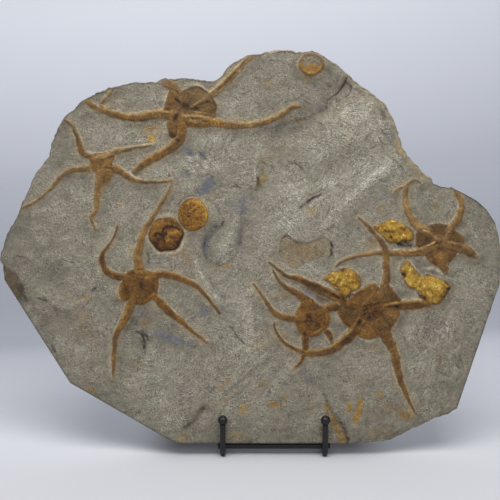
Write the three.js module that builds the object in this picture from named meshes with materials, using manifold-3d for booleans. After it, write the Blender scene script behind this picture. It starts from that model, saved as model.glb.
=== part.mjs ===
// A sawn and broken slab of grey siltstone with six fossil starfish in relief, leaning on a
// welded easel of black bar. Millimetres, +Z up. The face of the slab looks to -Y.
// The origin is the centre of the footprint, on the surface the easel stands on.

import * as THREE from 'three';
import Module from 'manifold-3d';

// ---------------------------------------------------------------- driving dimensions

const SLAB_WIDTH = 564;          // widest, left to right
const SLAB_THICKNESS = 22;
const LEAN = THREE.MathUtils.degToRad(11);   // of the slab, back from upright

const BAR = 6;                   // the easel's bar, square with its corners taken off
const BAR_CORNER = 1.3;
const BALL = 11;                 // diameter of the ball tips
const JOINT_GAP = 0.3;           // left between pieces that touch
const POST_SPACING = 114.8;      // between the axes of the two posts
const EASEL_OFFSET = 26.1;       // the easel's middle, right of the slab's middle
const BALL_HEIGHT = 43.6;        // ball centre above the table
const POST_AHEAD = 3.6;          // post axis ahead of the slab's lower front edge
const SEAT_DEPTH = 8;            // seat bar behind the slab's face
const FOOT_BEND = 6;             // centreline radius of the bend under each post
const RAIL_REAR = 172;           // end of the rails behind the slab's lower front edge
const UPRIGHT_HEIGHT = 235;      // along the slab, from its lower edge
const LEG_TOP = 224;             // where the rear leg meets the upright, along the slab
const MIDDLE_BAR = 78;           // crossbars, along the slab
const UPPER_BAR = 206;
const REAR_BAR = 148;            // behind the slab's lower front edge

// The face is drawn on a grid: x to the right, y down, from the upper left corner.
const GRID_ACROSS = 501.5;                    // grid steps across the slab
const STEP = SLAB_WIDTH / GRID_ACROSS;        // mm for one grid step
const GRID_MIDDLE = 250.75;                   // x of the slab's middle
const GRID_BASE = 444;                        // y of the slab's lower edge
const FACE_CENTRE = [250, 255];               // the middle of the face

// ---------------------------------------------------------------- the drawing of the face

// How far the front and the back edge lie inside the silhouette, in grid steps.
const SAWN = { front: 0.5, back: 0.6, rough: 0 };
const ROUND = { front: 1.2, back: 1.6, rough: 0.3 };
const BROKEN = { front: 2.0, back: 3.4, rough: 1.0 };
const RIM = { front: 4.2, back: 1.4, rough: 0.8 };   // a back layer stands out past the face

const OUTLINE = [
  [6, 279, SAWN], [71, 382, SAWN], [163, 437, SAWN], [174, 443, SAWN], [190, 444, SAWN],
  [345, 444, SAWN], [380, 443.5, BROKEN], [400, 436.5, BROKEN], [417, 427, BROKEN],
  [433, 418.5, BROKEN], [447, 413.5, BROKEN], [457, 408.5, SAWN], [498, 292, ROUND],
  [501, 284, ROUND], [501.5, 262, ROUND], [501, 245, ROUND], [499.5, 235, ROUND],
  [496, 222, ROUND], [487, 210, ROUND], [477, 200.5, ROUND], [463, 193.5, ROUND],
  [453, 188.5, BROKEN], [443, 187.5, BROKEN], [433, 184.5, RIM], [430, 180, RIM],
  [420, 172.5, RIM], [413, 165, RIM], [402, 150, RIM], [397, 134, RIM], [393, 120, RIM],
  [387, 105, RIM], [377, 95, RIM], [363, 84.5, RIM], [347, 71.5, BROKEN], [333, 60, BROKEN],
  [328, 59, BROKEN], [320, 54, BROKEN], [313, 51.5, BROKEN], [293, 51, RIM], [280, 49, RIM],
  [267, 51, RIM], [253, 54, BROKEN], [245, 57, BROKEN], [233, 64, BROKEN], [227, 70.5, BROKEN],
  [221, 79, BROKEN], [213, 82.5, BROKEN], [200, 81.5, BROKEN], [182, 81.5, BROKEN],
  [170, 80, BROKEN], [163, 80, BROKEN], [156.5, 82.5, BROKEN], [143, 82.5, BROKEN],
  [132, 84, BROKEN], [120, 86, BROKEN], [106, 90, BROKEN], [95, 95, BROKEN],
  [85, 100.5, BROKEN], [75, 108, BROKEN], [65, 116.5, BROKEN], [60, 127, BROKEN],
  [53.5, 143.5, BROKEN], [50, 157, BROKEN], [45, 163, BROKEN], [37, 173, BROKEN],
  [33, 182, BROKEN], [29, 191, BROKEN], [24, 200, BROKEN], [20, 210, BROKEN],
  [15, 224, BROKEN], [8, 233, BROKEN], [5, 243, BROKEN], [2, 253, BROKEN], [0, 261, BROKEN],
  [4, 265, BROKEN], [3.5, 271, BROKEN],
];

// Long low ridges (height above 0) and hollows of the face: from, to, spread, height in mm.
const SWELLS = [
  { from: [325, 222], to: [402, 160], spread: 10, height: 2.0 },
  { from: [278, 220], to: [345, 178], spread: 9, height: 1.4 },
  { from: [300, 234], to: [380, 182], spread: 7, height: -1.0 },
  { from: [302, 150], to: [352, 98], spread: 13, height: 1.6 },
  { from: [263, 140], to: [330, 112], spread: 12, height: -1.4 },
  { from: [256, 190], to: [246, 232], spread: 7, height: -1.7 },
  { from: [222, 234], to: [212, 262], spread: 9, height: -2.2 },
  { from: [232, 232], to: [226, 262], spread: 6, height: 0.9 },
  { from: [227, 377], to: [262, 345], spread: 7, height: 1.2 },
  { from: [253, 405], to: [292, 372], spread: 7, height: 1.2 },
  { from: [187, 430], to: [214, 398], spread: 4, height: -1.3 },
  { from: [412, 335], to: [426, 396], spread: 6, height: 1.1 },
  { from: [434, 330], to: [441, 386], spread: 6, height: -0.9 },
  { from: [60, 232], to: [96, 262], spread: 32, height: 1.6 },
  { from: [92, 336], to: [120, 352], spread: 26, height: -1.3 },
  { from: [262, 300], to: [250, 420], spread: 20, height: 1.0 },
];

// Each starfish: the outline of its disc, its mouth and its arms. An arm is a row of points
// [x, y, half width] from the mouth to the tip.
const STARFISH = [
  {
    name: 'top', mouth: [177, 117], rise: 2.6,
    disc: [[165, 108], [168, 90], [180, 87], [192, 86], [204, 88], [213, 98], [216, 108],
      [214, 117], [200, 121], [184, 122], [170, 118]],
    arms: [
      [[172, 116, 4.4], [158, 114, 4.4], [143, 116, 4.2], [130, 116.5, 4], [119, 114.5, 3.6],
        [107, 111, 3], [96, 107, 2.4], [84, 100, 2]],
      [[178, 96, 5], [171, 87, 5], [163, 81, 4.6]],
      [[206, 97, 4.6], [221, 85.5, 4.2], [233, 74, 4], [244, 61.5, 3.4], [249, 57, 3]],
      [[184, 119, 4.4], [198, 119, 4.4], [213, 121.5, 4.2], [227, 124, 3.9], [241, 125, 3.4],
        [256, 123.5, 2.9], [268, 120, 2.6], [280, 114.5, 2.4], [292, 107, 2.2], [300, 105.5, 1.4]],
      [[177, 122, 5.4], [177, 132, 5], [178, 139, 4.6], [172, 146.5, 4.3], [161, 153.5, 4.2],
        [150, 159, 3.8], [142.5, 165, 3.4], [135, 171, 2.6]],
    ],
  },
  {
    name: 'left', mouth: [100, 163], rise: 1.8,
    disc: [[89, 158], [96, 155], [104, 153], [114, 154], [115, 162], [112, 170], [108, 178],
      [100, 178], [97, 172], [88, 168]],
    arms: [
      [[97, 159, 3], [85, 152.5, 3.4], [80.5, 147, 3.3], [77.5, 138, 2.2], [73, 127, 1.7],
        [64.5, 120, 1.2]],
      [[96, 167, 3], [83, 169, 3], [72, 169.5, 2.8], [63.5, 174, 2.2], [56, 182.5, 2],
        [48, 191, 1.5], [36, 201, 1.2], [23, 208, 1]],
      [[101, 170, 4.4], [99, 184, 3.6], [97, 197, 2.8], [96, 209, 2.3], [90.5, 216, 1.6],
        [91.5, 222, 1.2], [95, 229, 1]],
      [[104, 158, 3.4], [114, 152, 3], [124, 149.5, 2], [135, 147, 1.3], [151, 145, 0.9]],
      [[106, 167, 3.8], [117.5, 169.5, 3.3], [126, 175, 2.8], [136, 180, 2.3], [148, 181.5, 1.6],
        [161, 181, 1.1], [172, 179.5, 0.9]],
    ],
  },
  {
    name: 'lower left', mouth: [140, 288], rise: 2.6,
    disc: [[124, 277], [135, 270], [145, 271], [156, 277], [159, 287], [155, 296], [146, 304],
      [133, 305], [124, 300], [120, 289]],
    arms: [
      [[139, 279, 5], [139, 269, 4.4], [137.5, 256, 3.9], [140, 243, 3.4], [144, 231, 3],
        [150.5, 220.5, 2.4], [157.5, 209.5, 1.8], [164, 199, 1.5], [169, 190, 1.1]],
      [[131, 281, 4], [124, 277.5, 3.7], [115, 276, 3.4], [106.5, 270, 3.2], [102.5, 260.5, 3],
        [103, 253, 2.2], [107.5, 246, 1.3], [113.5, 239, 0.9], [117.5, 229, 0.8]],
      [[148, 279, 4], [156, 275, 3.6], [167, 274.5, 3.2], [178, 277, 3], [188, 281, 2.7],
        [197, 286, 2.2], [205.5, 295, 1.7], [213, 304, 1.4], [221, 315, 0.9]],
      [[149, 292, 4], [155, 296.5, 3.4], [162, 303.5, 3.4], [172, 313.5, 3.1], [182, 321, 2.4],
        [192, 331, 1.7], [207, 342, 0.9]],
      [[135, 296, 5], [131, 304, 4.2], [127, 313.5, 3.8], [121, 325, 3.2], [116, 335, 2.7],
        [114, 346, 2.2], [113.5, 361, 1.7], [114, 376, 0.9]],
    ],
  },
  {
    name: 'right', mouth: [370, 310], rise: 3,
    disc: [[343, 304], [350, 297], [362, 288], [374, 284], [382, 289], [390, 287], [399, 298],
      [401, 308], [396, 320], [391, 331], [380, 334], [372, 339], [363, 337.5], [355, 331],
      [347, 326], [341, 317]],
    arms: [
      [[374, 302, 4], [382, 293, 4], [385.5, 282, 3.8], [386, 271, 3.5], [385.5, 258, 3.2],
        [383.5, 246, 2.9], [376.5, 236, 2.4], [368, 226, 1.8], [359, 217, 0.9]],
      [[376, 309, 3.4], [387, 306.5, 3.4], [398, 305.5, 3.6], [409.5, 304.5, 3.5],
        [420, 304.5, 3.3], [430, 304, 2.6]],
      [[376, 316, 5], [384.5, 326, 5.2], [390, 337.5, 4.7], [394, 350, 4.4], [397, 364, 3.8],
        [400.5, 378, 3.1], [405, 391.5, 2.2], [409.5, 402, 1.5], [415.5, 413, 0.9]],
      [[364, 315, 5], [358, 324, 5], [351, 335, 5], [341, 343, 4.6], [331, 349, 4.2],
        [320, 352, 3.6], [307.5, 353, 2.8], [298, 350, 2], [288, 345, 1.6], [280.5, 337.5, 1.3],
        [275.5, 328, 1]],
      [[360, 306, 3.4], [347, 301, 3.8], [336, 294.5, 4.2], [324.5, 289.5, 4.2],
        [312, 284, 3.6], [298, 278, 2.8], [287, 275.5, 2], [278.5, 269.5, 1.4], [269, 262, 0.9]],
    ],
  },
  {
    name: 'small', mouth: [309, 318], rise: 2.4,
    disc: [[303, 299], [313, 300], [319, 308], [329, 313], [330, 322], [326, 330], [317, 336],
      [309, 337], [301.5, 333], [297, 326], [295, 319], [297, 311]],
    arms: [
      [[309, 310, 5.4], [304, 297, 5], [293.5, 290.5, 3.4], [283.5, 285, 2.2], [277, 277.5, 1.5],
        [271.5, 268, 0.9]],
      [[303, 318.5, 4], [291, 318.5, 3.7], [280.5, 315.5, 3], [273, 311, 2.4], [267, 303, 1.7],
        [260.5, 293.5, 1.2], [253.5, 283, 0.8]],
      [[307, 327, 3.8], [305.5, 339, 3.4], [305.5, 348, 3], [303.5, 356, 2.3], [299.5, 362.5, 1.8],
        [294, 367.5, 1]],
      [[314, 314, 3.8], [326, 309, 3.2], [334, 306, 2.8], [342, 303, 2.4]],
      [[319, 328, 3.6], [328, 331, 3.2], [332, 337, 2.4], [332.5, 342, 1.4]],
    ],
  },
  {
    name: 'far right', mouth: [440, 241], rise: 2.6,
    disc: [[417, 234], [428, 227], [433, 225], [447, 225], [458, 233], [464, 239], [459, 253],
      [454, 260], [447, 267], [436, 267], [427, 260], [416, 250], [415, 243]],
    arms: [
      [[435, 237, 4.4], [427.5, 231.5, 4.6], [417, 225, 4.1], [409, 214, 3.5], [405, 203.5, 2.9],
        [404.5, 194, 2.4], [406, 185, 1.8], [411, 180.5, 1], [419, 180, 0.8]],
      [[444, 238, 4.2], [450, 230, 4.2], [456, 221, 3.6], [460.5, 211, 3.2], [461.5, 204, 2.8],
        [459, 196, 2.3], [454, 189, 1.4]],
      [[445, 242, 4], [452, 243, 4.4], [460, 245, 4.7], [468.5, 250, 4.2], [476, 257, 2.4]],
      [[434, 245.5, 4.6], [422, 251, 4.1], [410, 253, 3.5], [397, 252.5, 3.2],
        [386, 252.5, 2.8], [373, 253, 2.3], [362, 254.5, 1.9], [352, 256.5, 1.5],
        [342, 260.5, 1.2], [335, 266, 0.8]],
      [[440.5, 249, 7], [441, 258, 6], [443, 266, 4.6], [445, 274, 2.6]],
    ],
  },
];

// Rounded discs and lumps that stand out of the face: centre, half sizes, rise and roughness.
const LUMPS = [
  { at: [192.8, 214.5], half: [14.8, 16.3], rise: 3.2, sides: 16, rough: 0.02 },
  { at: [166.2, 234.4], half: [17.6, 17.3], rise: 3.4, sides: 12, rough: 0.06 },
  { at: [311.2, 64.5], half: [12, 10.5], rise: 2.2, sides: 12, rough: 0.03 },
  { at: [393, 232], half: [20, 10.6], rise: 5.4, sides: 13, rough: 0.12, turn: 0.22 },
  { at: [343.5, 282], half: [17.5, 14], rise: 5.6, sides: 14, rough: 0.14, turn: -0.3 },
  { at: [432, 289], half: [16.5, 14.5], rise: 5.2, sides: 14, rough: 0.14, turn: 0.2 },
  { at: [408, 274.5], half: [8.4, 12.6], rise: 3.2, sides: 10, rough: 0.12, turn: -0.15 },
];

// Shallow cuts into the face: outline and depth in mm.
const HOLLOWS = [
  { depth: 1.3, outline: [[281, 240], [287, 235], [294, 241], [304, 243], [316, 240], [323, 237],
    [329, 240], [331.5, 248], [331, 256], [318, 257.5], [309, 260.5], [298, 266.5], [290, 266],
    [283, 261], [280, 252]] },
  { depth: 1.6, outline: [[324, 393], [329, 404], [336, 414], [344, 428], [349.5, 446],
    [339, 446], [333, 430], [328, 414], [323, 402]] },
];

// The shell-shaped chip out of the left edge: centre, radii and turn in the face.
const CHIP = { at: [3, 283], radii: [19, 11, 13], turn: -0.98, depth: 3 };

// ---------------------------------------------------------------- helpers

const wasm = await Module();
wasm.setup();

// A repeatable random number from -1 to 1 for each whole number.
function jitter(n) {
  const s = Math.sin(n * 127.1 + 311.7) * 43758.5453;
  return 2 * (s - Math.floor(s)) - 1;
}

// From the drawing grid to the slab's own frame: x right, y up the slab, z out of the face.
function onFace(x, y, z) {
  return new THREE.Vector3((x - GRID_MIDDLE) * STEP, (GRID_BASE - y) * STEP, z);
}

// Height of the bare face above its mean plane, in mm.
function faceHeight(x, y) {
  let height = 0;
  for (const swell of SWELLS) {
    const [ax, ay] = swell.from;
    const [bx, by] = swell.to;
    const along = ((x - ax) * (bx - ax) + (y - ay) * (by - ay)) / ((bx - ax) ** 2 + (by - ay) ** 2);
    const t = THREE.MathUtils.clamp(along, 0, 1);
    const away = Math.hypot(x - ax - t * (bx - ax), y - ay - t * (by - ay));
    height += swell.height * Math.exp(-((away / swell.spread) ** 2));
  }
  return height;
}

// A closed mesh through rings of equal count, closed at both ends by a point.
function loft(rings, first, last) {
  const count = rings[0].length;
  const points = [first, ...rings.flat(), last];
  const faces = [];
  const end = points.length - 1;
  for (let i = 0; i < count; i++) {
    const j = (i + 1) % count;
    faces.push([0, 1 + j, 1 + i]);
    for (let k = 0; k < rings.length - 1; k++) {
      const a = 1 + k * count;
      const b = a + count;
      faces.push([a + i, a + j, b + j]);
      faces.push([a + i, b + j, b + i]);
    }
    const tail = 1 + (rings.length - 1) * count;
    faces.push([end, tail + i, tail + j]);
  }
  let volume = 0;
  for (const [a, b, c] of faces) {
    volume += points[a].dot(new THREE.Vector3().crossVectors(points[b], points[c]));
  }
  const outward = volume > 0 ? faces : faces.map(([a, b, c]) => [a, c, b]);
  return { points, faces: outward };
}

function centreOf(ring) {
  const sum = new THREE.Vector3();
  ring.forEach((point) => sum.add(point));
  return sum.divideScalar(ring.length);
}

function solidOf({ points, faces }) {
  const vertProperties = new Float32Array(points.flatMap((p) => [p.x, p.y, p.z]));
  const triVerts = new Uint32Array(faces.flat());
  return new wasm.Manifold(new wasm.Mesh({ numProp: 3, vertProperties, triVerts }));
}

function geometryOf(solid) {
  const mesh = solid.getMesh();
  const geometry = new THREE.BufferGeometry();
  geometry.setAttribute('position', new THREE.BufferAttribute(mesh.vertProperties, 3));
  geometry.setIndex(new THREE.BufferAttribute(mesh.triVerts, 1));
  geometry.computeVertexNormals();
  return geometry;
}

// ---------------------------------------------------------------- the slab

const SINK = 3;                  // how deep a raised body starts under the face, mm
const SPLIT_LENGTH = 11;         // broken stretches longer than this are halved, in grid steps

// The silhouette, with the broken stretches divided and roughened.
function silhouette() {
  const points = [];
  OUTLINE.forEach(([x, y, edge], i) => {
    const [nx, ny] = OUTLINE[(i + 1) % OUTLINE.length];
    const length = Math.hypot(nx - x, ny - y);
    const pieces = edge.rough > 0.5 && length > SPLIT_LENGTH ? 2 : 1;
    for (let k = 0; k < pieces; k++) {
      const t = k / pieces;
      const bump = k === 0 ? 0 : edge.rough * jitter(i * 3 + k);
      points.push({
        x: x + t * (nx - x) - (bump * (ny - y)) / length,
        y: y + t * (ny - y) + (bump * (nx - x)) / length,
        edge,
      });
    }
  });
  return points;
}

// The same loop moved inward by a distance given for each point, in grid steps.
function inset(loop, distance) {
  return loop.map((point, i) => {
    const before = loop[(i + loop.length - 1) % loop.length];
    const after = loop[(i + 1) % loop.length];
    const dx = after.x - before.x;
    const dy = after.y - before.y;
    const length = Math.hypot(dx, dy);
    const d = distance(point, i);
    return { ...point, x: point.x + (d * dy) / length, y: point.y - (d * dx) / length };
  });
}

// The cutting blocks reach past the drawing on every side: x from and to, y from and to.
const BLOCK = { left: -24, right: 528, upper: 26, lower: 470 };

// A closed block over the whole drawing, between two height functions, on a square lattice.
function block(cell, top, bottom) {
  const { left, right, upper, lower } = BLOCK;
  const columns = Math.round((right - left) / cell);
  const rows = Math.round((lower - upper) / cell);
  const points = [];
  [top, bottom].forEach((level) => {
    for (let j = 0; j <= rows; j++) {
      for (let i = 0; i <= columns; i++) {
        const x = left + (i * (right - left)) / columns;
        const y = upper + (j * (lower - upper)) / rows;
        points.push(onFace(x, y, level(x, y, j * columns + i)));
      }
    }
  });
  const faces = [];
  const under = points.length / 2;
  const at = (i, j) => j * (columns + 1) + i;
  for (let j = 0; j < rows; j++) {
    for (let i = 0; i < columns; i++) {
      const [a, b, c, d] = [at(i, j), at(i + 1, j), at(i + 1, j + 1), at(i, j + 1)];
      const halves = (i + j) % 2 ? [[a, d, b], [b, d, c]] : [[a, d, c], [a, c, b]];
      halves.forEach(([p, q, r]) => faces.push([p, q, r], [p + under, r + under, q + under]));
    }
  }
  const wall = (p, q) => faces.push([p, q, q + under], [p, q + under, p + under]);
  for (let i = 0; i < columns; i++) {
    wall(at(i, 0), at(i + 1, 0));
    wall(at(i + 1, rows), at(i, rows));
  }
  for (let j = 0; j < rows; j++) {
    wall(at(0, j + 1), at(0, j));
    wall(at(columns, j), at(columns, j + 1));
  }
  return solidOf({ points, faces });
}

const FACE_CELL = 28;            // lattice of the face, in grid steps
const BACK_CELL = 40;
const BEYOND = 20;               // how far cutting bodies reach past the slab, mm

// The edges of the slab, as a plug that runs past the face and the back.
function edges() {
  const outer = silhouette();
  const front = inset(outer, (p, i) => p.edge.front + 0.6 * p.edge.rough * jitter(i + 11));
  const shoulder = inset(outer, (p) => 0.45 * p.edge.front);
  const back = inset(outer, (p, i) => p.edge.back * (1 + 0.5 * p.edge.rough * jitter(i + 67)));
  const at = (loop, depth) => loop.map((p, i) => onFace(p.x, p.y, depth(p, i)));
  const rings = [
    at(inset(front, () => 1.5), () => BEYOND),
    at(inset(front, () => 1.5), (p) => faceHeight(p.x, p.y) + 0.3),
    at(front, (p) => faceHeight(p.x, p.y) - 0.7),
    at(shoulder, (p, i) => -3.2 - p.edge.rough * (1 + jitter(i + 5))),
    at(outer, (p, i) => -11 - 3 * p.edge.rough * jitter(i + 41)),
    at(back, (p, i) => -SLAB_THICKNESS + 1.4 + p.edge.rough * (1 + jitter(i + 91))),
    at(inset(back, () => 2), () => -SLAB_THICKNESS - BEYOND),
  ];
  const [cx, cy] = FACE_CENTRE;
  return solidOf(loft(rings, onFace(cx, cy, BEYOND), onFace(cx, cy, -SLAB_THICKNESS - BEYOND)));
}

// The cleaved back: flat, with hollows up to 2 mm deep.
function backHeight(x, y, n) {
  return -SLAB_THICKNESS + 2 * Math.max(0, jitter(n));
}

function plate() {
  const front = block(FACE_CELL, faceHeight, () => -SLAB_THICKNESS - BEYOND);
  const rear = block(BACK_CELL, () => BEYOND, backHeight);
  return edges().intersect(front).intersect(rear);
}

const ARM_STATION = 13;          // grid steps between the sections of an arm
const ARM_SECTION = [[-1, 0], [-0.66, 0.74], [0, 1], [0.66, 0.74], [1, 0], [0, -1]];

function armRise(halfWidth) {
  return 0.5 + 0.5 * halfWidth * STEP;
}

function arm(points) {
  const curve = new THREE.CatmullRomCurve3(points.map(([x, y, r]) => new THREE.Vector3(x, y, r)));
  const count = Math.max(3, Math.round(curve.getLength() / ARM_STATION));
  const rings = [];
  for (let i = 0; i <= count; i++) {
    const { x, y, z: halfWidth } = curve.getPointAt(i / count);
    const ahead = curve.getTangentAt(i / count);
    const length = Math.hypot(ahead.x, ahead.y);
    const side = [-ahead.y / length, ahead.x / length];
    const taper = i === count ? 0.55 : 1;
    rings.push(ARM_SECTION.map(([across, up]) => {
      const px = x + across * halfWidth * taper * side[0];
      const py = y + across * halfWidth * taper * side[1];
      const rise = up < 0 ? -SINK : up * armRise(halfWidth) * taper;
      return onFace(px, py, faceHeight(x, y) + rise);
    }));
  }
  return solidOf(loft(rings, centreOf(rings[0]), centreOf(rings[count])));
}

// A body over a closed outline: rings drawn in towards a middle point, each at its height.
function mound(outline, middle, profile, topHeight, sides) {
  const corners = outline.map(([x, y]) => new THREE.Vector3(x, y, 0));
  const curve = new THREE.CatmullRomCurve3(corners, true);
  const loop = curve.getSpacedPoints(sides).slice(0, sides);
  const [mx, my] = middle;
  const rings = profile.map(([factor, height], k) => loop.map((p, i) => {
    const x = mx + factor * (p.x - mx);
    const y = my + factor * (p.y - my);
    const level = height < 0 ? height : height * (1 + (k > 1 ? 0.08 * jitter(i * 7 + k) : 0));
    return onFace(x, y, faceHeight(x, y) + level);
  }));
  const base = faceHeight(mx, my);
  return solidOf(loft(rings, onFace(mx, my, base + profile[0][1]), onFace(mx, my, base + topHeight)));
}

const DISC_SIDES = 16;

// A starfish's disc: steep at its rim, flat on top, with a sunk mouth.
function disc({ disc: outline, mouth, rise }) {
  const profile = [[0.96, -SINK], [1, 0], [0.86, 0.8 * rise], [0.45, rise]];
  return mound(outline, mouth, profile, 0.5 * rise, DISC_SIDES);
}

function lump({ at, half, rise, sides, rough, turn = 0 }, n) {
  const outline = [];
  for (let i = 0; i < sides; i++) {
    const angle = (2 * Math.PI * i) / sides;
    const reach = 1 + rough * jitter(n * 31 + i);
    const x = half[0] * Math.cos(angle) * reach;
    const y = half[1] * Math.sin(angle) * reach;
    outline.push([
      at[0] + x * Math.cos(turn) - y * Math.sin(turn),
      at[1] + x * Math.sin(turn) + y * Math.cos(turn),
    ]);
  }
  const profile = [[0.96, -SINK], [1, 0], [0.9, 0.62 * rise], [0.6, rise * (1 - rough)]];
  return mound(outline, at, profile, rise, sides);
}

const CUT_CLEARANCE = 6;         // how far a cutting body stands out of the face, mm

function hollow({ outline, depth }) {
  const middle = outline.reduce(([sx, sy], [x, y]) => [sx + x / outline.length, sy + y / outline.length],
    [0, 0]);
  const profile = [[0.94, -depth], [1, -0.25 * depth], [1, CUT_CLEARANCE]];
  return mound(outline, middle, profile, CUT_CLEARANCE, outline.length);
}

const CHIP_SIDES = 12;
const CHIP_ROWS = 8;

function chip() {
  const rings = [];
  for (let row = 1; row < CHIP_ROWS; row++) {
    const polar = (row / CHIP_ROWS) * Math.PI;
    rings.push(Array.from({ length: CHIP_SIDES }, (_, i) => (
      new THREE.Vector3().setFromSphericalCoords(1, polar, (i / CHIP_SIDES) * 2 * Math.PI))));
  }
  const body = loft(rings, new THREE.Vector3(0, 1, 0), new THREE.Vector3(0, -1, 0));
  const place = onFace(CHIP.at[0], CHIP.at[1], CHIP.depth);
  const turn = new THREE.Matrix4().makeRotationZ(CHIP.turn);
  const [rx, ry, rz] = CHIP.radii;
  body.points.forEach((p) => {
    p.set(p.x * rx * STEP, p.y * ry * STEP, p.z * rz).applyMatrix4(turn).add(place);
  });
  return solidOf(body);
}

function slabGeometry() {
  let stone = plate();
  STARFISH.forEach((star) => {
    stone = stone.add(disc(star));
    star.arms.forEach((points) => {
      stone = stone.add(arm(points));
    });
  });
  LUMPS.forEach((item, n) => {
    stone = stone.add(lump(item, n));
  });
  HOLLOWS.forEach((item) => {
    stone = stone.subtract(hollow(item));
  });
  return geometryOf(stone.subtract(chip()));
}

// ---------------------------------------------------------------- the easel

// Everything here is measured from the slab's lower front edge: y back, z up from the table.
const HALF_BAR = BAR / 2;
const BAR_FLAT = HALF_BAR - BAR_CORNER;       // half the width of each flat side
const SEAT_DROP = HALF_BAR * Math.cos(LEAN) + BAR_FLAT * Math.sin(LEAN);
const SEAT_AXIS_Z = BAR + JOINT_GAP + SEAT_DROP;
const SLAB_BASE_Z = SEAT_AXIS_Z + (HALF_BAR + JOINT_GAP) * Math.cos(LEAN) + SEAT_DEPTH * Math.sin(LEAN);
const UPRIGHT_BEHIND = SLAB_THICKNESS + JOINT_GAP + HALF_BAR;

// A point given along the slab and behind its face, in the easel's upright section.
function sectionPoint(along, behind, x = 0) {
  return new THREE.Vector3(
    x,
    along * Math.sin(LEAN) + behind * Math.cos(LEAN),
    SLAB_BASE_Z + along * Math.cos(LEAN) - behind * Math.sin(LEAN),
  );
}

// A bar along a path: square with its corners taken off, one pair of sides facing `across`.
function barGeometry(path, across) {
  const section = [
    [HALF_BAR, -BAR_FLAT], [HALF_BAR, BAR_FLAT], [BAR_FLAT, HALF_BAR], [-BAR_FLAT, HALF_BAR],
    [-HALF_BAR, BAR_FLAT], [-HALF_BAR, -BAR_FLAT], [-BAR_FLAT, -HALF_BAR], [BAR_FLAT, -HALF_BAR],
  ];
  const rings = path.map((point, k) => {
    const before = path[Math.max(0, k - 1)];
    const after = path[Math.min(path.length - 1, k + 1)];
    const ahead = new THREE.Vector3().subVectors(after, before).normalize();
    const up = new THREE.Vector3().crossVectors(across, ahead);
    return section.map(([a, u]) => point.clone().addScaledVector(across, a).addScaledVector(up, u));
  });
  return geometryOf(solidOf(loft(rings, centreOf(rings[0]), centreOf(rings.at(-1)))));
}

const ALONG_X = new THREE.Vector3(1, 0, 0);
const OUT_OF_FACE = new THREE.Vector3(0, -Math.cos(LEAN), Math.sin(LEAN));
const UPWARD = new THREE.Vector3(0, 0, 1);

// The ball is flattened where it meets the top of its post.
const BALL_FLAT = Math.sqrt((BALL / 2) ** 2 - (0.9 * HALF_BAR) ** 2);

const BEND_STEPS = 4;

// Post, bend under the post and rail along the table, in one bent bar.
function railPath() {
  const path = [new THREE.Vector3(0, -POST_AHEAD, BALL_HEIGHT - BALL_FLAT - JOINT_GAP)];
  for (let i = 0; i <= BEND_STEPS; i++) {
    const angle = (i / BEND_STEPS) * (Math.PI / 2);
    path.push(new THREE.Vector3(
      0,
      -POST_AHEAD + FOOT_BEND * (1 - Math.cos(angle)),
      HALF_BAR + FOOT_BEND * (1 - Math.sin(angle)),
    ));
  }
  path.push(new THREE.Vector3(0, RAIL_REAR, HALF_BAR));
  return path;
}

const BALL_ROWS = 7;
const BALL_SIDES = 12;

function ballGeometry() {
  const radius = BALL / 2;
  const start = -Math.asin(BALL_FLAT / radius);
  const profile = [new THREE.Vector2(0, -BALL_FLAT)];
  for (let i = 0; i <= BALL_ROWS; i++) {
    const angle = start + (i / BALL_ROWS) * (Math.PI / 2 - start);
    const reach = i === BALL_ROWS ? 0 : radius * Math.cos(angle);
    profile.push(new THREE.Vector2(reach, radius * Math.sin(angle)));
  }
  const geometry = new THREE.LatheGeometry(profile, BALL_SIDES);
  geometry.rotateX(Math.PI / 2);
  return geometry;
}

// From just above the rail, up the back of the slab.
function uprightPath() {
  const foot = (BAR + JOINT_GAP - SLAB_BASE_Z + UPRIGHT_BEHIND * Math.sin(LEAN)) / Math.cos(LEAN);
  return [
    sectionPoint(foot + HALF_BAR * Math.tan(LEAN), UPRIGHT_BEHIND),
    sectionPoint(UPRIGHT_HEIGHT, UPRIGHT_BEHIND),
  ];
}

// How far the end of a bar stops short of the axis of a bar that it meets at an angle.
function trim(angle) {
  return (HALF_BAR + JOINT_GAP) / Math.sin(angle) + HALF_BAR / Math.tan(angle);
}

// From the rear of the rail up to the back of the upright.
function rearLegPath() {
  const foot = new THREE.Vector3(0, RAIL_REAR - 2 * BAR, HALF_BAR);
  const head = sectionPoint(LEG_TOP, UPRIGHT_BEHIND);
  const along = new THREE.Vector3().subVectors(head, foot).normalize();
  const rise = Math.asin(along.z);
  const meeting = Math.PI / 2 + LEAN - rise;
  return [
    foot.clone().addScaledVector(along, trim(rise)),
    head.clone().addScaledVector(along, -trim(meeting)),
  ];
}

// A bar across the easel through a point of its upright section.
function crossbarGeometry(length, middle, facing) {
  const half = new THREE.Vector3(length / 2, 0, 0);
  return barGeometry([middle.clone().sub(half), middle.clone().add(half)], facing);
}

// ---------------------------------------------------------------- the assembly

const stone = new THREE.MeshStandardMaterial({ color: 0x8c8678, roughness: 0.9, metalness: 0 });
const blackSteel = new THREE.MeshStandardMaterial({ color: 0x2a282b, roughness: 0.5, metalness: 0.4 });

const object = new THREE.Group();

function addPiece(name, geometry, material, place) {
  const mesh = new THREE.Mesh(geometry, material);
  mesh.name = name;
  mesh.position.copy(place);
  object.add(mesh);
  return mesh;
}

const slab = addPiece('slab', slabGeometry(), stone, sectionPoint(0, 0));
slab.rotation.x = Math.PI / 2 - LEAN;

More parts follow.
